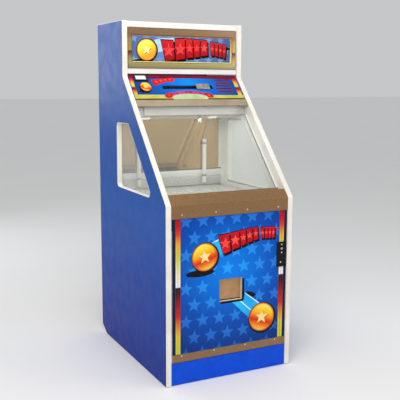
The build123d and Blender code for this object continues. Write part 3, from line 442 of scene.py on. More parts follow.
# Caster wheel: grey polypropylene hub inside a moulded black rubber tyre.
wheel, tree, shader, place = new_finish("rubber_tyre_on_polypropylene", {"IOR": 1.5})
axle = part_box("left_caster_wheel")
hub = (0, (axle[0].y + axle[1].y) / 2, (axle[0].z + axle[1].z) / 2)
share = by_distance(hub, 0.025, (0, 1, 1))(tree, place)
hub_to_tread = [(0.0, "#6E7073"), (0.66, "#7B7D80"), (0.7, "#0E0E0F"), (1.0, "#1B1B1C")]
tint(tree, shader, share, hub_to_tread)
vary_gloss(tree, shader, patches(tree, place, 6), 0.5, 0.7)
raise_grain(tree, shader, patches(tree, place, 2), 0.05)
dress(wheel, "left_caster_wheel", "right_caster_wheel")

# ---- ledge cap
# Folded 2 mm steel sheet over the front rail, in a bronze hammered lacquer whose wet film
# pulled into dimples about 3 mm across.
hammered, tree, shader, place = new_finish(
    "bronze_hammered_lacquer",
    {"IOR": 1.5, "Metallic": 0.35, "Coat Weight": 0.75, "Coat Roughness": 0.16},
)
dimples = add_node(
    tree, "ShaderNodeTexVoronoi", {"Scale": 1000 / 3.2}, {"Vector": place}, feature="SMOOTH_F1"
).outputs["Distance"]
tint(tree, shader, dimples, [(0.0, "#9A7440"), (0.35, "#8A6436"), (0.7, "#76542A")])
vary_gloss(tree, shader, patches(tree, place, 30), 0.3, 0.42)
raise_grain(tree, shader, dimples, 0.14, 0.45)
dress(hammered, "ledge_cap", "door_retainer")

# ---- ledge, liner and door screws
# Pan-head screws with a cross recess, cold-headed steel with bright zinc plate. Each head is
# turned on its own, as a screwdriver leaves it.
HEAD_R = 0.0045
HEAD_T = 0.0022
LEDGE_SCREWS = [(x, 856) for x in (-273, -89, 89, 271)]
RETAINER_SCREWS = [(x, 149) for x in (-273, -93, 88, 267)]
LINER_SCREWS = (
    (120, 900), (265, 1080), (390, 1218), (500, 1290), (695, 1255), (695, 1140), (695, 1010),
    (695, 880), (520, 885), (300, 885),
)

head = bmesh.new()
profile = [
    head.verts.new((radius, 0, height))
    for radius, height in (
        (0, 0),
        (HEAD_R, 0),
        (HEAD_R, HEAD_T * 0.3),
        (HEAD_R * 0.86, HEAD_T * 0.72),
        (HEAD_R * 0.55, HEAD_T * 0.95),
        (0, HEAD_T),
    )
]
rim = [head.edges.new(pair) for pair in zip(profile, profile[1:])]
bmesh.ops.spin(
    head, geom=profile + rim, axis=(0, 0, 1), cent=(0, 0, 0), steps=20, angle=2 * pi, use_merge=True
)
bmesh.ops.remove_doubles(head, verts=head.verts, dist=1e-6)
driver = bmesh.new()
for turn in (0, pi / 2):
    blade = bmesh.ops.create_cube(driver, size=1)["verts"]
    bmesh.ops.scale(driver, vec=(HEAD_R * 1.1, HEAD_R * 0.22, HEAD_T * 1.4), verts=blade)
    tip = [v for v in blade if v.co.z < 0]
    bmesh.ops.scale(driver, vec=(0.35, 0.7, 1), verts=tip)
    bmesh.ops.rotate(driver, matrix=Matrix.Rotation(turn, 3, "Z"), verts=blade)
bmesh.ops.translate(driver, vec=(0, 0, HEAD_T * 1.1), verts=driver.verts)
blank = bpy.data.objects.new("screw_blank", smooth_mesh(head))
cutter = bpy.data.objects.new("screw_cutter", smooth_mesh(driver))
for tool in (blank, cutter):
    bpy.context.scene.collection.objects.link(tool)
recess = blank.modifiers.new("recess", "BOOLEAN")
recess.operation = "DIFFERENCE"
recess.object = cutter
recess.solver = "EXACT"
recess.use_self = True
bpy.context.view_layer.update()
screw_head = bpy.data.meshes.new_from_object(
    blank.evaluated_get(bpy.context.evaluated_depsgraph_get())
)
bpy.data.objects.remove(blank)
bpy.data.objects.remove(cutter)


def face_frame(origin, up):
    """From (across, up, outward) in millimetres on a flat face to the cabinet's frame."""
    across, up = Vector((1, 0, 0)), Vector(up)
    turn = Matrix((across, up, across.cross(up))).transposed().to_4x4()
    return Matrix.Translation(origin) @ turn @ Matrix.Scale(0.001, 4)


def front_of(node):
    """The face frame of a CAD node's front."""
    return face_frame((0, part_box(node)[0].y, 0), (0, 0, 1))


def screw_spots(face, places):
    """Where screws stand on a face, from their places in millimetres."""
    return [face @ Matrix.Translation((x, z, 0)) @ Matrix.Scale(1000, 4) for x, z in places]


def drive_screws(spots, turned):
    """Screw heads at the spots, each one turned a little further than the last."""
    bm = bmesh.new()
    for number, spot in enumerate(spots):
        bm.verts.ensure_lookup_table()
        already = len(bm.verts)
        bm.from_mesh(screw_head)
        bm.verts.ensure_lookup_table()
        angle = Matrix.Rotation(turned + number * 1.1, 4, "Z")
        bmesh.ops.transform(bm, matrix=spot @ angle, verts=bm.verts[already:])
    return bm


# Bright zinc over cold-headed steel: clear highlights, darker in the recess.
bright_zinc = mottled(
    "bright_zinc_screw_steel", {"Metallic": 1.0}, (2, "#B9BABA", "#D8D8D6"), (1.5, 0.2, 0.34)
)

wall_x = OUTSIDE - BOARD - 0.004
spots = screw_spots(front_of("ledge_cap"), LEDGE_SCREWS)
for side in (-1, 1):
    inward = Matrix.Rotation(-side * pi / 2, 4, "Y")
    for depth, z in LINER_SCREWS:
        at_wall = Matrix.Translation((side * wall_x, FRONT + depth / 1000, z / 1000))
        spots.append(at_wall @ inward)
screws = drive_screws(spots, 0.3)
piece("panel_screw_heads", screws, bright_zinc, stands_for=["panel_screws"], slot="screw_steel")

screws = drive_screws(screw_spots(front_of("door_retainer"), RETAINER_SCREWS), 0.9)
piece(
    "door_retainer_screw_heads",
    screws,
    bright_zinc,
    body="front_door",
    stands_for=["retainer_screws"],
    slot="screw_steel",
)

# ---- front glass and its channels
# 6 mm toughened float glass on the slope, ground at its edges, slid into extruded satin
# aluminium channels with a thin black rubber seal down each edge.
dress(clear_sheet("toughened_float_glass", "#F8FAF8", 0.02, 1.52), "front_glass")

# Natural anodised aluminium: fine lines from the extrusion die run along each channel.
anodised, tree, shader, place = new_finish("natural_anodised_aluminium", {"Metallic": 0.2})
die_lines = patches(tree, place, 1.2, 2, (1, 0.02, 0.02))
tint(tree, shader, die_lines, drift("#DCDCDA", "#EDEDEC"))
vary_gloss(tree, shader, die_lines, 0.34, 0.5)
dress(anodised, "glass_channels")

SLOPE_RUN, SLOPE_RISE = 0.552, 0.606
slope_up = Vector((0, SLOPE_RUN, SLOPE_RISE)).normalized()
slope_out = Vector((1, 0, 0)).cross(slope_up)
knee = Vector((0, FRONT, 0.904))


def slope_face(inward_mm):
    """From (across, up the slope, outward) in millimetres to the cabinet's frame."""
    return face_frame(knee - slope_out * inward_mm / 1000, slope_up)


def slope_level(up_mm):
    """Height of a point this far up the slope."""
    return knee.z + slope_up.z * up_mm / 1000


# Extruded rubber, matt black, between the glass and each channel's outer lip.
seal_rubber = mottled(
    "extruded_seal_rubber", {"IOR": 1.52}, (20, "#1A1A1B", "#262627"), (12, 0.5, 0.65)
)


def bars(name, boxes, rounding, material, slot, face=Matrix()):
    """Straight bars between pairs of corners on a face, their edges eased, as one piece."""
    bm = bmesh.new()
    for low, high in boxes:
        low, high = Vector(low), Vector(high)
        made = bmesh.ops.create_cube(bm, size=1)["verts"]
        bmesh.ops.scale(bm, vec=high - low, verts=made)
        bmesh.ops.translate(bm, vec=(low + high) / 2, verts=made)
        ease(bm, list({edge for spot in made for edge in spot.link_edges}), rounding)
    bmesh.ops.transform(bm, matrix=face, verts=bm.verts)
    piece(name, bm, material, slot=slot)


seal_boxes = [((left, 82, -0.7), (left + 2, 590, 0.7)) for left in (-320, 318)]
bars("glass_seals", seal_boxes, 0.4, seal_rubber, "black_plastic", slope_face(54.6))

# ---- printed faces
# The sign, the instruction panel and the door are screen printed, each colour a film of ink
# over the last, under a clear gloss overlaminate. Each ink is a thin piece of its own, INK
# millimetres proud per coat and SUNK into the sheet below.
INK = 0.12
SUNK = 0.04


def new_ink(name, colour_of, lit):
    """Start an ink under overlaminate: glossy, and lit from behind on the sign."""
    material, tree, shader, place = new_finish(
        name,
        {
            "IOR": 1.46,
            "Specular IOR Level": 0.1,
            "Coat Weight": 0.08,
            "Coat Roughness": 0.06,
            "Emission Strength": lit,
        },
    )
    colour = colour_of(tree, place)
    tree.links.new(colour, shader.inputs["Base Color"])
    if lit:
        tree.links.new(colour, shader.inputs["Emission Color"])
    vary_gloss(tree, shader, patches(tree, place, 50), 0.3, 0.42)
    return material, tree, shader, place


def printed(name, pick, stops, lit=0):
    """A flat ink whose tone is picked from its stops, slightly rippled."""

    def colour_of(tree, place):
        links = {"Fac": pick(tree, place)}
        return add_node(tree, "ShaderNodeValToRGB", links=links, stops=stops).outputs["Color"]

    material, tree, shader, place = new_ink(name, colour_of, lit)
    raise_grain(tree, shader, patches(tree, place, 9, 1), 0.02)
    return material


def solid(name, size_mm, dark, light, low=0.3, lit=0):
    """A flat ink that drifts between two tones over patches of a real size."""

    def pick(tree, place):
        return patches(tree, place, size_mm, 2)

    return printed(name, pick, drift(dark, light, low), lit)


def block(x0, x1, y0, y1):
    """The corners of an upright rectangle."""
    return [(x0, y0), (x1, y0), (x1, y1), (x0, y1)]


def flat(*outlines):
    """A new mesh with a flat shape through the corners of each outline."""
    bm = bmesh.new()
    for corners in outlines:
        bm.faces.new([bm.verts.new((x, y, 0)) for x, y in corners])
    return bm


def oval(bm, x, y, wide, tall, tilt=0, segments=48, waist=1):
    """A flat oval of these half sizes, tilted, every second corner drawn in to a waist."""
    ring = bmesh.ops.create_circle(bm, cap_ends=True, segments=segments, radius=1)["verts"]
    bmesh.ops.scale(bm, vec=(wide, tall, 1), verts=ring)
    bmesh.ops.scale(bm, vec=(waist, waist, 1), verts=ring[1::2])
    turn = Matrix.Translation((x, y, 0)) @ Matrix.Rotation(tilt, 4, "Z")
    bmesh.ops.transform(bm, matrix=turn, verts=ring)


def star(bm, x, y, reach, tilt=0):
    """A flat five-pointed star."""
    oval(bm, x, y, reach, reach, tilt, segments=10, waist=0.43)


def trim(bm, x0, x1, y0, y1):
    """Cut flat shapes off at the edges of the sheet they are printed on."""
    cut_off(bm, (x0, 0, 0), (-1, 0, 0))
    cut_off(bm, (x1, 0, 0), (1, 0, 0))
    cut_off(bm, (0, y0, 0), (0, -1, 0))
    cut_off(bm, (0, y1, 0), (0, 1, 0))


def stars(*spots):
    """A new mesh with a star at each (x, y, reach, tilt)."""
    bm = bmesh.new()
    for spot in spots:
        star(bm, *spot)
    return bm


def lay_ink(name, bm, sheet, coat, material):
    """Give flat shapes the thickness of their ink film and lay them on a sheet's face."""
    face, body, slot = sheet
    thicken(bm, (0, 0, INK * coat + SUNK))
    bmesh.ops.transform(bm, matrix=face @ Matrix.Translation((0, 0, -SUNK)), verts=bm.verts)
    piece(name, bm, material, body, slot=slot)


def lay_ball(name, x, y, radius, sheet, coat, material):
    """A printed coin ball, whose shading follows its own UV map from its middle."""
    face, body, slot = sheet
    bm = bmesh.new()
    oval(bm, x, y, radius, radius)
    thicken(bm, (0, 0, INK * coat))
    across = bm.loops.layers.uv.new("ball")
    for face_part in bm.faces:
        for corner in face_part.loops:
            spot = corner.vert.co
            corner[across].uv = ((spot.x - x) / radius, (spot.y - y) / radius)
    bmesh.ops.transform(bm, matrix=face, verts=bm.verts)
    piece(name, bm, material, body, slot=slot)


RIPE = (
    (0.0, "#F8E8A8"), (0.1, "#F4C050"), (0.24, "#EE7A1C"), (0.37, "#D82A14"), (0.46, "#EA5A14"),
    (0.58, "#F6A41C"), (0.76, "#FAD432"), (1.0, "#FFF07A"),
)
LEMON = (
    (0.0, "#F2D070"), (0.12, "#EC9A34"), (0.26, "#F0A030"), (0.42, "#F6C030"), (0.62, "#FADC38"),
    (1.0, "#FFF27C"),
)


def ball_ink(name, light_x, tones, lit=0):
    """Airbrushed gold ball: yellow towards its lit side, orange then dark red away from it."""

    def colour_of(tree, place):
        uv = add_node(tree, "ShaderNodeUVMap", uv_map="ball").outputs["UV"]
        slope = add_node(
            tree, "ShaderNodeVectorMath", {1: (light_x, 0.9, 0)}, {0: uv}, operation="DOT_PRODUCT"
        )
        level = add_node(
            tree,
            "ShaderNodeMapRange",
            {"From Min": -1.0, "From Max": 1.0},
            {"Value": slope.outputs["Value"]},
        )
        body_tone = add_node(
            tree, "ShaderNodeValToRGB", links={"Fac": level.outputs["Result"]}, stops=tones
        )
        from_middle = add_node(tree, "ShaderNodeVectorMath", links={0: uv}, operation="LENGTH")
        edge = add_node(
            tree,
            "ShaderNodeValToRGB",
            links={"Fac": from_middle.outputs["Value"]},
            stops=[(0.86, "#000000"), (0.97, "#FFFFFF")],
        )
        rimmed = add_node(
            tree,
            "ShaderNodeMix",
            {7: linear("#B5551A")},
            {0: edge.outputs["Color"], 6: body_tone.outputs["Color"]},
            data_type="RGBA",
        )
        return rimmed.outputs[2]

    return new_ink(name, colour_of, lit)[0]


black_ink = solid("black_screen_ink", 60, "#0B0A10", "#14121A")
red_ink = solid("red_screen_ink", 70, "#B80A1C", "#DA1A26", 0.35)
rose_ink = solid("light_red_screen_ink", 30, "#F03A34", "#FF5E50", 0.35)
white_ink = solid("white_screen_ink", 40, "#DDF2FA", "#F2FBFE")
cyan_ink = solid("cyan_screen_ink", 90, "#1AA6EE", "#2FC2F6")
gold_ink = solid("pale_gold_screen_ink", 40, "#F4D070", "#FBE6A0")
plum_ink = solid("dark_red_screen_ink", 60, "#5E0F2C", "#7A1734")

# ---- header and its lit sign
# A white laminated board framed in lacquered steel, with a black gasket inside the frame and a
# black painted shadow round it, and a printed acrylic sign lit from behind by a tube: a coin
# ball, its shadow and an arched row of red tiles.
SIGN_LIT = 0.16
header_laminate = mottled(
    "pressed_white_laminate", {"IOR": 1.5}, (160, "#E6E4DE", "#F1EFEA"), (50, 0.32, 0.44), (6, 0.03)
)
dress(header_laminate, "header_board", "top_board")

# Gilt lacquer over steel sheet, airbrushed: brown along the top, gold down the sides with a
# dark red waist, and yellow along the bottom.
gilt, tree, shader, place = new_finish(
    "gilt_lacquered_steel", {"Metallic": 0.75, "Coat Weight": 0.5, "Coat Roughness": 0.15}
)
gilt_tones = (
    (0.0, "#98895A"), (0.13, "#B6AA66"), (0.24, "#B89A44"), (0.36, "#8A5A2C"), (0.41, "#5C2020"),
    (0.46, "#C8A048"), (0.7, "#B89048"), (0.8, "#947048"), (1.0, "#9A7858"),
)
tint(tree, shader, by_height(1.555, 1.765)(tree, place), gilt_tones)
vary_gloss(tree, shader, patches(tree, place, 20), 0.28, 0.4)
raise_grain(tree, shader, patches(tree, place, 3, 1), 0.05)
dress(gilt, "marquee_frame")

# Black strips: one round the frame's outer edge, a painted shadow of the gap there, and one between
# the frame and the sign, a gasket.
GASKET_AND_SHADOW_WIDE = 2.4
gasket_and_shadow_boxes = []
for wide, low, high, outward in ((324.5, 1553.5, 1766.5, 0.6), (302, 1584, 1730, 0.4)):
    for x0, x1, y0, y1 in (
        (-wide, wide, low, low + GASKET_AND_SHADOW_WIDE),
        (-wide, wide, high - GASKET_AND_SHADOW_WIDE, high),
        (-wide, GASKET_AND_SHADOW_WIDE - wide, low + GASKET_AND_SHADOW_WIDE, high - GASKET_AND_SHADOW_WIDE),
        (wide - GASKET_AND_SHADOW_WIDE, wide, low + GASKET_AND_SHADOW_WIDE, high - GASKET_AND_SHADOW_WIDE),
    ):
        gasket_and_shadow_boxes.append(((x0, y0, outward - 3), (x1, y1, outward)))
bars("sign_gasket_and_painted_shadow_strips", gasket_and_shadow_boxes, 0.5, seal_rubber, "black_plastic", front_of("marquee_frame"))

sign_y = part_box("marquee_panel")[0].y
sign = (front_of("marquee_panel"), "cabinet", "backlit_panel")
sign_ground = printed(
    "steel_blue_backlit_ink",
    by_distance((-0.05, sign_y, 1.655), 0.34, (1, 1, 1.6)),
    [(0.0, "#6F8FC0"), (0.5, "#50719F"), (1.0, "#3E5A8A")],
    SIGN_LIT,
)
dress(sign_ground, "marquee_panel")
sign_cloud = solid("light_steel_blue_backlit_ink", 80, "#6480AE", "#7C97C0", lit=SIGN_LIT)
spots = [
    (-290 + 74 * n + 37 * (row % 2), 1600 + 55 * row, 24) for n in range(9) for row in range(3)
]
shapes = stars(*spots)
trim(shapes, -301, 301, 1586, 1729)
lay_ink("sign_pale_stars", shapes, sign, 1, sign_cloud)

shapes = flat([(-172, 1704), (-128, 1714), (40, 1721), (40, 1716), (-112, 1648), (-152, 1640)])
sign_streak = solid("pale_blue_backlit_ink", 60, "#8CB8E0", "#B4D6EE", lit=SIGN_LIT)
lay_ink("sign_streak", shapes, sign, 2, sign_streak)

# Each banner is an arched row of red tiles with a star on each, narrower to the right.
BANNERS = {
    "sign": (
        [(-133, 1704), (-62, 1703), (-52, 1604), (-106, 1590)],
        [(-52, 1711), (8, 1716), (10, 1607), (-45, 1600)],
        [(14, 1715), (53, 1713), (60, 1616), (18, 1611)],
        [(59, 1713), (99, 1711), (98, 1621), (66, 1616)],
        [(105, 1711), (144, 1706), (148, 1629), (104, 1623)],
        [(162, 1702), (186, 1700), (190, 1630), (168, 1628)],
        [(191, 1700), (212, 1697), (214, 1624), (195, 1627)],
        [(217, 1696), (236, 1692), (238, 1620), (219, 1622)],
        [(241, 1691), (265, 1684), (258, 1614), (243, 1618)],
    ),
    "door": (
        [(-73, 737), (-12, 742), (-2, 652), (-42, 640)],
        [(-5, 744), (44, 750), (50, 668), (6, 656)],
        [(50, 752), (82, 757), (88, 681), (56, 671)],
        [(88, 758), (120, 760), (124, 690), (94, 684)],
        [(126, 761), (153, 762), (157, 698), (130, 692)],
        [(168, 757), (190, 757), (192, 700), (174, 700)],
        [(195, 758), (212, 757), (214, 699), (197, 699)],
        [(217, 757), (234, 755), (234, 698), (218, 699)],
        [(238, 755), (257, 752), (254, 697), (238, 698)],
    ),
}


def middle_of(tile):
    """The mean of a tile's corners."""
    return [sum(corner[axis] for corner in tile) / 4 for axis in (0, 1)]


def tile_star(tile):
    """A star at the middle of a tile, as large as the tile's width lets it be."""
    return *middle_of(tile), 0.62 * (tile[1][0] - tile[0][0] + tile[2][0] - tile[3][0]) / 2


def tile_outlines(tiles):
    """The black outline and the cast shadow behind each tile."""
    outlines = []
    for tile in tiles:
        x, y = middle_of(tile)
        for grown, right, down in ((1.1, 0, 0), (1.06, 7, 9)):
            grown_tile = [(x + grown * (cx - x), y + grown * (cy - y)) for cx, cy in tile]
            outlines.append([(cx + right, cy - down) for cx, cy in grown_tile])
    return outlines


ribbon_end = [(262, 1676), (290, 1671), (290, 1660), (262, 1660)]
shapes = flat(*tile_outlines(BANNERS["sign"]), ribbon_end)
oval(shapes, -238, 1592, 62, 10)
oval(shapes, -214, 1650, 62.5, 62.5)
trim(shapes, -301, 301, 1585, 1729)
lay_ink("sign_shadows", shapes, sign, 3, black_ink)

sign_red = printed(
    "red_backlit_ink",
    by_height(1.59, 1.715),
    [(0.0, "#8A0814"), (0.5, "#B41019"), (1.0, "#C82226")],
    SIGN_LIT,
)
sign_rose = solid("light_red_backlit_ink", 30, "#D83238", "#E24E4A", 0.35, lit=SIGN_LIT)
lay_ink("sign_banner", flat(*BANNERS["sign"]), sign, 4, sign_red)
lay_ink("sign_banner_stars", stars(*map(tile_star, BANNERS["sign"])), sign, 5, sign_rose)
sign_ball = ball_ink("gold_airbrushed_backlit_ink", -0.4, LEMON, SIGN_LIT)
lay_ball("sign_ball", -216, 1652, 57, sign, 5, sign_ball)
sign_amber = solid("amber_backlit_ink", 30, "#B4541A", "#C86A1E", lit=SIGN_LIT)
lay_ink("sign_ball_star_shade", stars((-214, 1650, 31)), sign, 6, sign_amber)
sign_gold = solid("pale_gold_backlit_ink", 30, "#FBDD70", "#FFF0A8", lit=SIGN_LIT)
lay_ink("sign_ball_star", stars((-216, 1653, 29)), sign, 7, sign_gold)

# Gilt beading line printed just inside the frame.
shapes = flat(
    block(-302, 302, 1584, 1591),
    block(-302, 302, 1723, 1730),
    block(-302, -299, 1591, 1723),
    block(290, 302, 1591, 1723),
)
sign_gilt = printed(
    "gilt_backlit_ink",
    by_height(1.58, 1.735),
    [(0.0, "#E2D488"), (0.6, "#C8B070"), (1.0, "#94683C")],
    SIGN_LIT,
)
lay_ink("sign_beading", shapes, sign, 8, sign_gilt)

# Fluorescent tube behind the sign: an opal glass tube in a white enamelled tray.
tube = mottled(
    "opal_fluorescent_tube",
    {"Emission Strength": 1.5, "Emission Color": linear("#F4F8FF")},
    (60, "#E8EBEE", "#F4F6F8"),
    (30, 0.2, 0.35),
)
dress(tube, "marquee_lamp")

# ---- instruction panel
# Printed acrylic on the slope, with a black slot for the coin shuttle: blue field, rainbow
# borders, a coin ball, a slanted ribbon, an arch with a row of stars and a few plain bars.
board = (slope_face(3), "cabinet", "printed_panel")
azure_spot = knee + slope_up * 0.795 + Vector((0.01, 0, 0))
board_ground = printed(
    "azure_screen_ink",
    by_distance(azure_spot, 0.3),
    [(0.0, "#088AF0"), (0.25, "#0876DC"), (0.6, "#085AB4"), (1.0, "#124488")],
)
dress(board_ground, "instruction_panel")

shapes = flat([(-325, 803), (-200, 808), (0, 812), (200, 810), (325, 804), (325, 835), (-325, 835)])
lay_ink("board_top_border", shapes, board, 1, plum_ink)
shapes = flat([(-325, 669), (325, 669), (325, 690), (-325, 697)])
lime_ink = solid("lime_gold_screen_ink", 50, "#B4B048", "#CCC662")
lay_ink("board_lower_border", shapes, board, 1, lime_ink)
shapes = flat(block(-325, 325, 656, 669))
olive_ink = solid("dark_olive_screen_ink", 40, "#2C2410", "#3E3418")
lay_ink("board_lower_line", shapes, board, 1, olive_ink)
border_ink = printed(
    "rainbow_border_ink",
    by_height(slope_level(690), slope_level(816)),
    [
        (0.0, "#C8C850"), (0.16, "#E89020"), (0.3, "#C01C20"), (0.42, "#5A0A20"), (0.5, "#C8C850"),
        (0.68, "#E8B030"), (0.85, "#D03020"), (1.0, "#8A1028"),
    ],
)
shapes = flat(
    [(-325, 697), (-305, 697), (-305, 817), (-325, 816)],
    [(294, 690), (318, 690), (318, 815), (294, 817)],
)
lay_ink("board_side_borders", shapes, board, 2, border_ink)

shapes = flat(
    [(-203, 797), (-150, 806), (-66, 818), (-68, 788), (-118, 786), (-152, 774), (-192, 757)]
)
oval(shapes, -128, 690, 27, 17, 0.3, 24)
oval(shapes, 110, 690, 27, 17, -0.3, 24)
lay_ink("board_red_ribbon", shapes, board, 3, red_ink)
shapes = stars(
    (-176, 787, 13), (-146, 794, 12), (-118, 800, 11), (-92, 804, 10),
    (-128, 691, 11), (110, 691, 11),
)
lay_ink("board_ribbon_stars", shapes, board, 4, rose_ink)

# The arch: two ovals, one inset in the other, cut off where they meet the lower border.
magenta_ink = solid("magenta_screen_ink", 50, "#8E2A6A", "#B4488A")
shapes = bmesh.new()
oval(shapes, -8, 668, 150, 56, segments=64)
trim(shapes, -140, 122, 690, 730)
lay_ink("board_arch", shapes, board, 2, magenta_ink)
shapes = bmesh.new()
oval(shapes, -8, 660, 128, 42, segments=64)
trim(shapes, -110, 96, 662, 706)
mint_ink = solid("pale_mint_screen_ink", 40, "#A8BE86", "#C4D2A4")
lay_ink("board_arch_inset", shapes, board, 4, mint_ink)
shapes = stars(*((-8 + 27 * n, 713 - 1.7 * n * n, 7.5, -0.1 * n) for n in range(-3, 4)))
lay_ink("board_arch_stars", shapes, board, 4, rose_ink)

plain_bars = []
for row, (x0, x1) in enumerate(((176, 270), (182, 262), (172, 268), (168, 272), (176, 264))):
    y = 806 - 21 * row
    plain_bars.append(block(x0, x1, y, y - 10))
lay_ink("board_plain_bars", flat(*plain_bars), board, 1, plum_ink)

shapes = flat(
    [(-280, 738), (-228, 715), (-236, 709), (-276, 709), (-290, 718)],
    block(-297.5, -219.5, 793, 787),
)
oval(shapes, -249, 744, 34, 31)
lay_ink("board_shadows", shapes, board, 2, black_ink)
board_ball = ball_ink("gold_airbrushed_ink", 0.3, RIPE)
lay_ball("board_ball", -245, 752, 31, board, 5, board_ball)
lay_ink("board_ball_star", stars((-245, 752, 16)), board, 6, gold_ink)

# ---- coin shuttle and its slot
# Black acetal rail behind the slot, and a die-cast shuttle that the player slides along it.
# A coin dropped in its slot rolls down the zinc-plated runway that hangs below.

# Moulded acetal and ABS: black, with the 0.4 mm sparkle of a spark-eroded mould at 1.2 mm.
moulded = mottled(
    "spark_eroded_black_acetal",
    {"IOR": 1.48},
    (1.2, "#0D0D0E", "#191A1B"),
    (1.2, 0.4, 0.55),
    (1.2, 0.04),
    details=(2, 2, 2),
)
dress(moulded, "shuttle_rail", "display_bezel")

# Die-cast zinc under satin chrome, worn warm and bright where fingers push it.
cast, tree, shader, place = new_finish("satin_chromed_zinc_casting", {"Metallic": 0.9})
wear = patches(tree, place, 40, 2)
tint(tree, shader, wear, [(0.3, "#B4A48E"), (0.55, "#C6BAA8"), (0.75, "#DCD6CC")])
vary_gloss(tree, shader, wear, 0.24, 0.42)
raise_grain(tree, shader, patches(tree, place, 1.6, 2), 0.02)
dress(cast, "coin_shuttle")
dress(zinc, "coin_runway")

# The retainer bar has a paler, smoother copy of the ledge's bronze lacquer: painted light, for the
# bar's upward-facing surface lit from above.
painted_lit_bronze_lacquer = mottled(
    "bronze_lacquer_painted_lit",
    {"IOR": 1.5, "Metallic": 0.3, "Coat Weight": 0.6, "Coat Roughness": 0.14},
    (90, "#9E8A6E", "#B4A48C"),
    (30, 0.3, 0.42),
    (3, 0.05),
)
dress(painted_lit_bronze_lacquer, "panel_retainer_bar")

# The credit display's lens: white opal acrylic over an unlit counter.
lens = mottled("white_opal_acrylic", {"IOR": 1.49}, (25, "#E4E2E0", "#F2F0EE"), (20, 0.1, 0.2))
dress(lens, "display_lens")

# ---- lamp box, lamps and mirror
# A folded steel ceiling in white powder coat, two round lamps under it, a mirror across the back
# tinted tan as a painted reflection, painted reflection strips along its foot, white trims
# down its sides, and an opal post lamp before each end.

# Powder coat: baked polyester, off-white, with a 2 mm orange peel.
powder = mottled(
    "white_powder_coat", {"IOR": 1.5}, (120, "#DAD9D4", "#EAE9E4"), (40, 0.4, 0.52), (2.2, 0.04)
)
dress(powder, "lamp_box")

# A wing of the same sheet at each end of the lamp box closes the gap to the side panel.
box_low, box_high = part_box("lamp_box")
wing_y, wing_z = box_low.y + 0.005, box_high.z - 0.0405
wing_boxes = [
    ((left, wing_y, wing_z), (left + 0.0525, wing_y + 0.002, wing_z + 0.04))
    for left in (-0.32875, 0.27625)
]
bars("lamp_box_wings", wing_boxes, 0.0005, powder, "white_sheet")

# Frosted polycarbonate lamp lens, lit.
frosted = mottled(
    "frosted_polycarbonate_lens",
    {"IOR": 1.58, "Emission Strength": 0.45, "Emission Color": linear("#FBFBFA")},
    (10, "#ECE9E2", "#F8F6F0"),
    (6, 0.3, 0.45),
)
dress(frosted, "playfield_lamps")

# Silvered float glass tinted tan: a painted reflection, warming all it reflects to stand in for the
# tan surroundings seen through the front glass.
mirror = mottled(
    "mirror_glass_tinted_as_painted_reflection", {"Metallic": 1.0}, (220, "#CA9C54", "#D2A85E"), (90, 0.03, 0.08)
)
dress(mirror, "back_mirror")

# Polyethylene sheet: waxy, greyed and polished in long streaks by coins pushed along it. The same
# grey also serves as a painted reflection on a strip across the mirror.
coin_grey_and_reflection_grey, tree, shader, place = new_finish(
    "coin_greyed_polyethylene_and_painted_reflection", {"IOR": 1.54, "Specular IOR Level": 0.8}
)
rubbed = patches(tree, place, 8, 4, (1, 0.06, 1))
tint(tree, shader, rubbed, [(0.3, "#A4A59F"), (0.5, "#ADAEA8"), (0.7, "#B8B9B4")])
vary_gloss(tree, shader, rubbed, 0.12, 0.3)

# Three strips across the mirror's foot, from the top a black, a white and a grey one: painted
# reflections of the glass's bottom channel, the white front inner wall and the grey below it.
# A white corner trim runs down each of the mirror's sides.
mirror_low, mirror_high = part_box("back_mirror")
mirror_y = mirror_low.y
for name, thick, low, high, rounding, material, slot in (
    ("mirror_painted_white_reflection_strip", 0.0014, 0.938, 0.974, 0.0004, melamine, "white_board"),
    ("mirror_painted_grey_reflection_strip", 0.0014, 0.8845, 0.9375, 0.0004, coin_grey_and_reflection_grey, "white_sheet"),
    ("mirror_painted_dark_reflection_line", 0.0016, 0.974, 0.98, 0.0005, seal_rubber, "black_plastic"),
):
    strip = ((-0.328, mirror_y - thick, low), (0.328, mirror_y, high))
    bars(name, [strip], rounding, material, slot)
corner_boxes = [
    ((left, mirror_y - 0.003, 0.982), (left + 0.02, mirror_y, mirror_high.z - 0.006))
    for left in (-0.3285, 0.3085)
]
bars("mirror_corner_trims", corner_boxes, 0.0008, melamine, "white_board")

# Opal post lamp: a white acrylic tube, grey nylon clips at two heights and a grey lead.
post, tree, shader, place = new_finish("opal_acrylic_post_with_nylon_clips", {"IOR": 1.49})
OPAL, NYLON = "#DCDBD6", "#8A8884"
bands = add_node(
    tree,
    "ShaderNodeValToRGB",
    links={"Fac": by_height(0.9, 1.3)(tree, place)},
    stops=[
        (0.0, OPAL), (0.0875, NYLON), (0.1175, OPAL),
        (0.5625, NYLON), (0.5925, OPAL), (0.635, NYLON),
    ],
)
bands.color_ramp.interpolation = "CONSTANT"
tree.links.new(bands.outputs["Color"], shader.inputs["Base Color"])
vary_gloss(tree, shader, patches(tree, place, 18), 0.25, 0.4)
dress(post, "post_lamps")

# ---- playfield and its chute
# White laminated bed and front wall, a galvanised chute from the bed's edge, and a coin box
# below it. The sheet steel shows the large flat crystals of hot-dip zinc.
dress(melamine, "playfield_bed", "front_inner_wall")

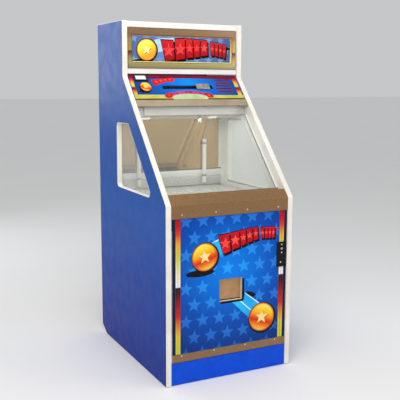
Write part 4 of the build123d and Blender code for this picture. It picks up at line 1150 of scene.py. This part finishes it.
galvanised, tree, shader, place = new_finish("hot_dip_galvanised_steel", {"Metallic": 0.9})
spangle = add_node(
    tree, "ShaderNodeTexVoronoi", {"Scale": 1000 / 14}, {"Vector": place}, feature="F1"
)
crystal = add_node(tree, "ShaderNodeSeparateXYZ", links={"Vector": spangle.outputs["Color"]})
tint(tree, shader, crystal.outputs["X"], [(0.0, "#8E9396"), (0.5, "#A2A7AA"), (1.0, "#B8BCBE")])
vary_gloss(tree, shader, crystal.outputs["Y"], 0.34, 0.5)
dress(galvanised, "win_chute", "coin_box")

# ---- pusher and its drive
# A hollow shelf in white high-density polyethylene slides on two black guides, driven by a
# steel rack and pinion from a geared motor under the bed.

dress(coin_grey_and_reflection_grey, "pusher_shelf")
dress(moulded, "pusher_guides")

# Hobbed gear steel: oiled grey, darker in the tooth roots.
gear_steel = mottled(
    "hobbed_gear_steel", {"Metallic": 1.0}, (5, "#6F6C66", "#9A9893"), (5, 0.22, 0.4)
)
dress(gear_steel, "pusher_rack", "drive_pinion")

# The motor: cast housing in grey stove enamel, slightly pebbled.
enamel = mottled(
    "grey_stove_enamel",
    {"IOR": 1.5},
    (3, "#3C4043", "#4B5053"),
    (3, 0.38, 0.5),
    (3, 0.08),
    details=(2, 2, 2),
)
dress(enamel, "drive_motor")

# ---- front door
# A painted board faced with a printed vinyl sheet: blue with staggered stars, rainbow
# stripes up both sides, two coin balls, an arched row of tiles and streaks by the ticket slot.

# The board's cut edges: cream brushed paint over fibreboard.
cream, tree, shader, place = new_finish("brushed_cream_paint", {"IOR": 1.48})
bristle = patches(tree, place, 2.5, 3, (1, 1, 0.1))
tint(tree, shader, bristle, drift("#D8CBAA", "#E6DCC2"))
vary_gloss(tree, shader, bristle, 0.45, 0.6)
raise_grain(tree, shader, bristle, 0.06)
dress(cream, "door_panel")

DOOR_FOOT, DOOR_HEAD = 159, 834
art_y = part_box("door_artwork")[0].y
door = (front_of("door_artwork"), "front_door", "printed_panel")
glow = by_distance((-0.01, art_y, 0.56), 0.46, (0.95, 1, 1.05))
door_ground = printed(
    "door_azure_screen_ink",
    glow,
    [(0.0, "#0480EA"), (0.3, "#046CD4"), (0.62, "#064CAE"), (1.0, "#083480")],
)
dress(door_ground, "door_artwork")
star_ink = printed(
    "door_light_azure_screen_ink",
    glow,
    [(0.0, "#22A2FA"), (0.3, "#2090EC"), (0.62, "#2474D6"), (1.0, "#1E58AE")],
)
shapes = bmesh.new()
for row in range(9):
    first = -204 if row % 2 else -250
    for n in range(7):
        star(shapes, first + 93 * n, 148 + 84 * row, 39, 0.05 * ((3 * n + 5 * row) % 5 - 2))
trim(shapes, -278, 284, 120, DOOR_HEAD)
for face_part in shapes.faces[:]:
    middle = face_part.calc_center_median()
    if -80 < middle.x < 84 and 376 < middle.y < 531:
        shapes.faces.remove(face_part)
lay_ink("door_pale_stars", shapes, door, 1, star_ink)

# Dark margins outside the stripes, shadows of the balls and the printed shadow of the slot.
shapes = flat(block(-326, -306, DOOR_FOOT, DOOR_HEAD), block(313, 327, DOOR_FOOT, DOOR_HEAD))
navy_ink = solid("navy_screen_ink", 90, "#0A1634", "#10224A")
lay_ink("door_margins", shapes, door, 1, navy_ink)
shapes = flat([(67, 503), (79, 503), (79, 385), (-58, 385), (-58, 396), (67, 396)])
oval(shapes, -171, 557, 78, 18, 0.02)
oval(shapes, 112, 415, 38, 13, -0.25)
lay_ink("door_shadows", shapes, door, 2, black_ink)

shapes = flat(
    [(10, 385), (74, 385), (79, 397), (84, 429), (170, 360), (106, 294)],
    [(-112, 704), (-72, 717), (-48, 634), (-66, 650), (-82, 660)],
)
lay_ink("door_streaks", shapes, door, 3, cyan_ink)
shapes = flat(
    [(81, 429), (84, 423), (168, 357), (171, 362)],
    [(56, 385), (62, 385), (122, 331), (118, 328)],
    [(-114, 702), (-72, 712), (-71, 718), (-76, 717)],
)
lay_ink("door_streak_lines", shapes, door, 4, white_ink)

stripe_ink = printed(
    "rainbow_stripe_ink",
    by_height(0.158, 0.835),
    [
        (0.0, "#C6CC34"), (0.13, "#D8C83A"), (0.2, "#E09030"), (0.28, "#C62A22"),
        (0.38, "#9A1222"), (0.45, "#4A0A18"), (0.5, "#1E1424"), (0.507, "#F0ECF0"),
        (0.6, "#ECE6B8"), (0.72, "#CFCF4A"), (0.81, "#E8B030"), (0.89, "#D6402A"),
        (0.94, "#BE1420"), (1.0, "#A80C1C"),
    ],
)
shapes = flat(block(-305, -278, DOOR_FOOT, DOOR_HEAD), block(284, 312, DOOR_FOOT, DOOR_HEAD))
lay_ink("door_rainbow_stripes", shapes, door, 3, stripe_ink)
line_starts = (-306, -292.5, -279, 283, 297, 311)
shapes = flat(*(block(x, x + 1.6, DOOR_FOOT, DOOR_HEAD) for x in line_starts))
umber_ink = solid("umber_line_ink", 60, "#6A3A20", "#84502A")
lay_ink("door_stripe_lines", shapes, door, 4, umber_ink)

shapes = flat(*tile_outlines(BANNERS["door"]))
oval(shapes, -143, 633, 77, 77)
oval(shapes, 188, 280, 83, 83)
lay_ink("door_outlines", shapes, door, 5, black_ink)
shapes = flat(*BANNERS["door"], [(262, 748), (288, 742), (288, 738), (262, 740)])
lay_ink("door_banner", shapes, door, 6, red_ink)
lay_ink("door_banner_stars", stars(*map(tile_star, BANNERS["door"])), door, 7, rose_ink)

upper_ball = ball_ink("gold_airbrushed_ink_lit_left", -0.3, RIPE)
lay_ball("door_upper_ball", -147, 636, 71, door, 7, upper_ball)
lay_ball("door_lower_ball", 185, 284, 76, door, 7, board_ball)
amber_ink = solid("amber_screen_ink", 40, "#B4501A", "#C8641E")
shapes = stars((-144, 633, 39, 0.08), (188, 281, 42, -0.08))
lay_ink("door_ball_star_shades", shapes, door, 8, amber_ink)
shapes = stars((-147, 637, 37, 0.08), (185, 285, 40, -0.08))
lay_ink("door_ball_stars", shapes, door, 9, gold_ink)

# ---- hinge, lock plate and ticket slot
# A steel piano hinge, a black powder-coated lock plate with its three screws and a nickel cam
# lock, and behind the ticket opening a lacquered plate with the dispenser and its roller.
dress(zinc, "door_hinge_frame_leaf", "door_hinge_door_leaf")

black_powder = mottled(
    "textured_black_powder_coat",
    {"IOR": 1.5, "Specular IOR Level": 0.2},
    (1.5, "#060607", "#0E0E10"),
    (1.5, 0.36, 0.5),
    (1.5, 0.06),
    details=(2, 2, 2),
)
dress(black_powder, "lock_plate", "ticket_dispenser")

# Three of the same pan heads on the lock plate's raised bosses.
PLATE_SCREWS = ((297, 657), (297, 615), (292, 564))
screws = drive_screws(screw_spots(front_of("lock_plate"), PLATE_SCREWS), 1.7)
piece("lock_plate_screw_heads", screws, bright_zinc, body="front_door", slot="screw_steel")

# Nickel-plated brass plug, turned, with keys' scratches round the keyway.
nickel = mottled(
    "turned_nickel_plate", {"Metallic": 1.0}, (1.2, "#C4BFB4", "#E2DED4"), (1.2, 0.16, 0.3)
)
dress(nickel, "door_lock_plug", "rear_lock_body", "rear_lock_plug")

# The plate behind the opening is the bronze lacquer again, sprayed thin and smoother.
thin_lacquer = mottled(
    "thin_bronze_lacquer",
    {"IOR": 1.5, "Metallic": 0.2, "Coat Weight": 0.4, "Coat Roughness": 0.2},
    (45, "#A87F50", "#BA9060"),
    (15, 0.35, 0.48),
    (2.5, 0.06),
)
dress(thin_lacquer, "ticket_plate")

# Turned roller: nitrile rubber ground with fine rings, darker than the dispenser.
rubber = mottled(
    "ground_nitrile_rubber",
    {"IOR": 1.52},
    (1.5, "#1E1E1F", "#2B2B2C"),
    (1.5, 0.6, 0.75),
    (1.5, 0.05),
    details=(2, 2, 2),
)
dress(rubber, "ticket_roller")

# ---- rear panels and power inlet
# Black melamine-faced boards: one fixed above, one lifted out after its lock is turned, with
# two rows of routed vents, and a lower rail with the moulded mains inlet and its switch.
rear_board = mottled(
    "black_melamine_board", {"IOR": 1.5}, (130, "#17181A", "#222326"), (45, 0.42, 0.58), (2.5, 0.04)
)
dress(rear_board, "rear_upper_panel", "rear_access_panel", "rear_lower_rail")
dress(moulded, "power_inlet")

# The rocker: glossy red nylon, as on a mains switch.
rocker = mottled("glossy_red_nylon", {"IOR": 1.53}, (6, "#A01218", "#B81A20"), (5, 0.18, 0.3))
dress(rocker, "power_rocker")

# ---- studio, lights and camera
# A pale seamless floor, a large soft key lamp to the front left, a weaker fill on the right
# and a tall lamp behind on the left that lifts the side panel's gloss.
studio_floor = mottled(
    "matt_painted_studio_floor", {"IOR": 1.45}, (900, "#F2F2F1", "#F4F4F3"), (400, 0.86, 0.9)
)
floor_bm = bmesh.new()
bmesh.ops.create_grid(floor_bm, x_segments=2, y_segments=2, size=60)
floor = bpy.data.objects.new("studio_floor", smooth_mesh(floor_bm))
floor.data.materials.append(studio_floor)
bpy.context.scene.collection.objects.link(floor)
floor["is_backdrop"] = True

studio = bpy.data.worlds.new("studio")
studio.use_nodes = True
studio.node_tree.nodes["Background"].inputs["Color"].default_value = linear("#F4F5F7")
studio.node_tree.nodes["Background"].inputs["Strength"].default_value = 0.62
bpy.context.scene.world = studio
bpy.context.scene.view_settings.view_transform = "Standard"


def soft_lamp(name, spot, aim, wide, tall, watts, colour):
    """A rectangular soft lamp at a spot, turned to face an aim."""
    lamp = bpy.data.lights.new(name, "AREA")
    lamp.shape = "RECTANGLE"
    lamp.size, lamp.size_y = wide, tall
    lamp.energy = watts
    lamp.color = linear(colour)[:3]
    obj = bpy.data.objects.new(name, lamp)
    bpy.context.scene.collection.objects.link(obj)
    way = Vector(aim) - Vector(spot)
    obj.matrix_world = Matrix.Translation(spot) @ way.to_track_quat("-Z", "Y").to_matrix().to_4x4()


soft_lamp("key_lamp", (-2.2, -3.4, 3.0), (0, -0.2, 0.9), 2.0, 1.6, 46, "#FFF6EC")
soft_lamp("fill_lamp", (2.8, -2.6, 2.0), (0, 0, 0.9), 1.8, 1.8, 22, "#F2F6FF")
soft_lamp("rear_left_lamp", (-2.1, 3.7, 2.0), (-0.3, 0.1, 1.3), 2.4, 1.6, 34, "#F4F7FF")

soft_lamp("top_lamp", (-0.6, -1.4, 3.4), (0, 0, 1.1), 1.6, 1.2, 34, "#FFFDFA")
soft_lamp("ceiling_lamp_spill", (0, 0.05, 1.285), (0, -0.05, 0.9), 0.5, 0.12, 1.3, "#FBFBFA")

lens_data = bpy.data.cameras.new("camera")
lens_data.lens = 64.87
lens_data.sensor_width = 36
camera = bpy.data.objects.new("camera", lens_data)
bpy.context.scene.collection.objects.link(camera)
yaw, pitch, roll = radians(26.73), radians(9.23), radians(0.26)
aim = Matrix.Rotation(-yaw, 4, "Z") @ Matrix.Rotation(pi / 2 - pitch, 4, "X")
camera.matrix_world = (
    Matrix.Translation((-1.71703, -3.52849, 1.47883)) @ aim @ Matrix.Rotation(roll, 4, "Z")
)
bpy.context.scene.camera = camera

low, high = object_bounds()
{"cad": [list(cad_low), list(cad_high)], "visual": [list(low), list(high)]}
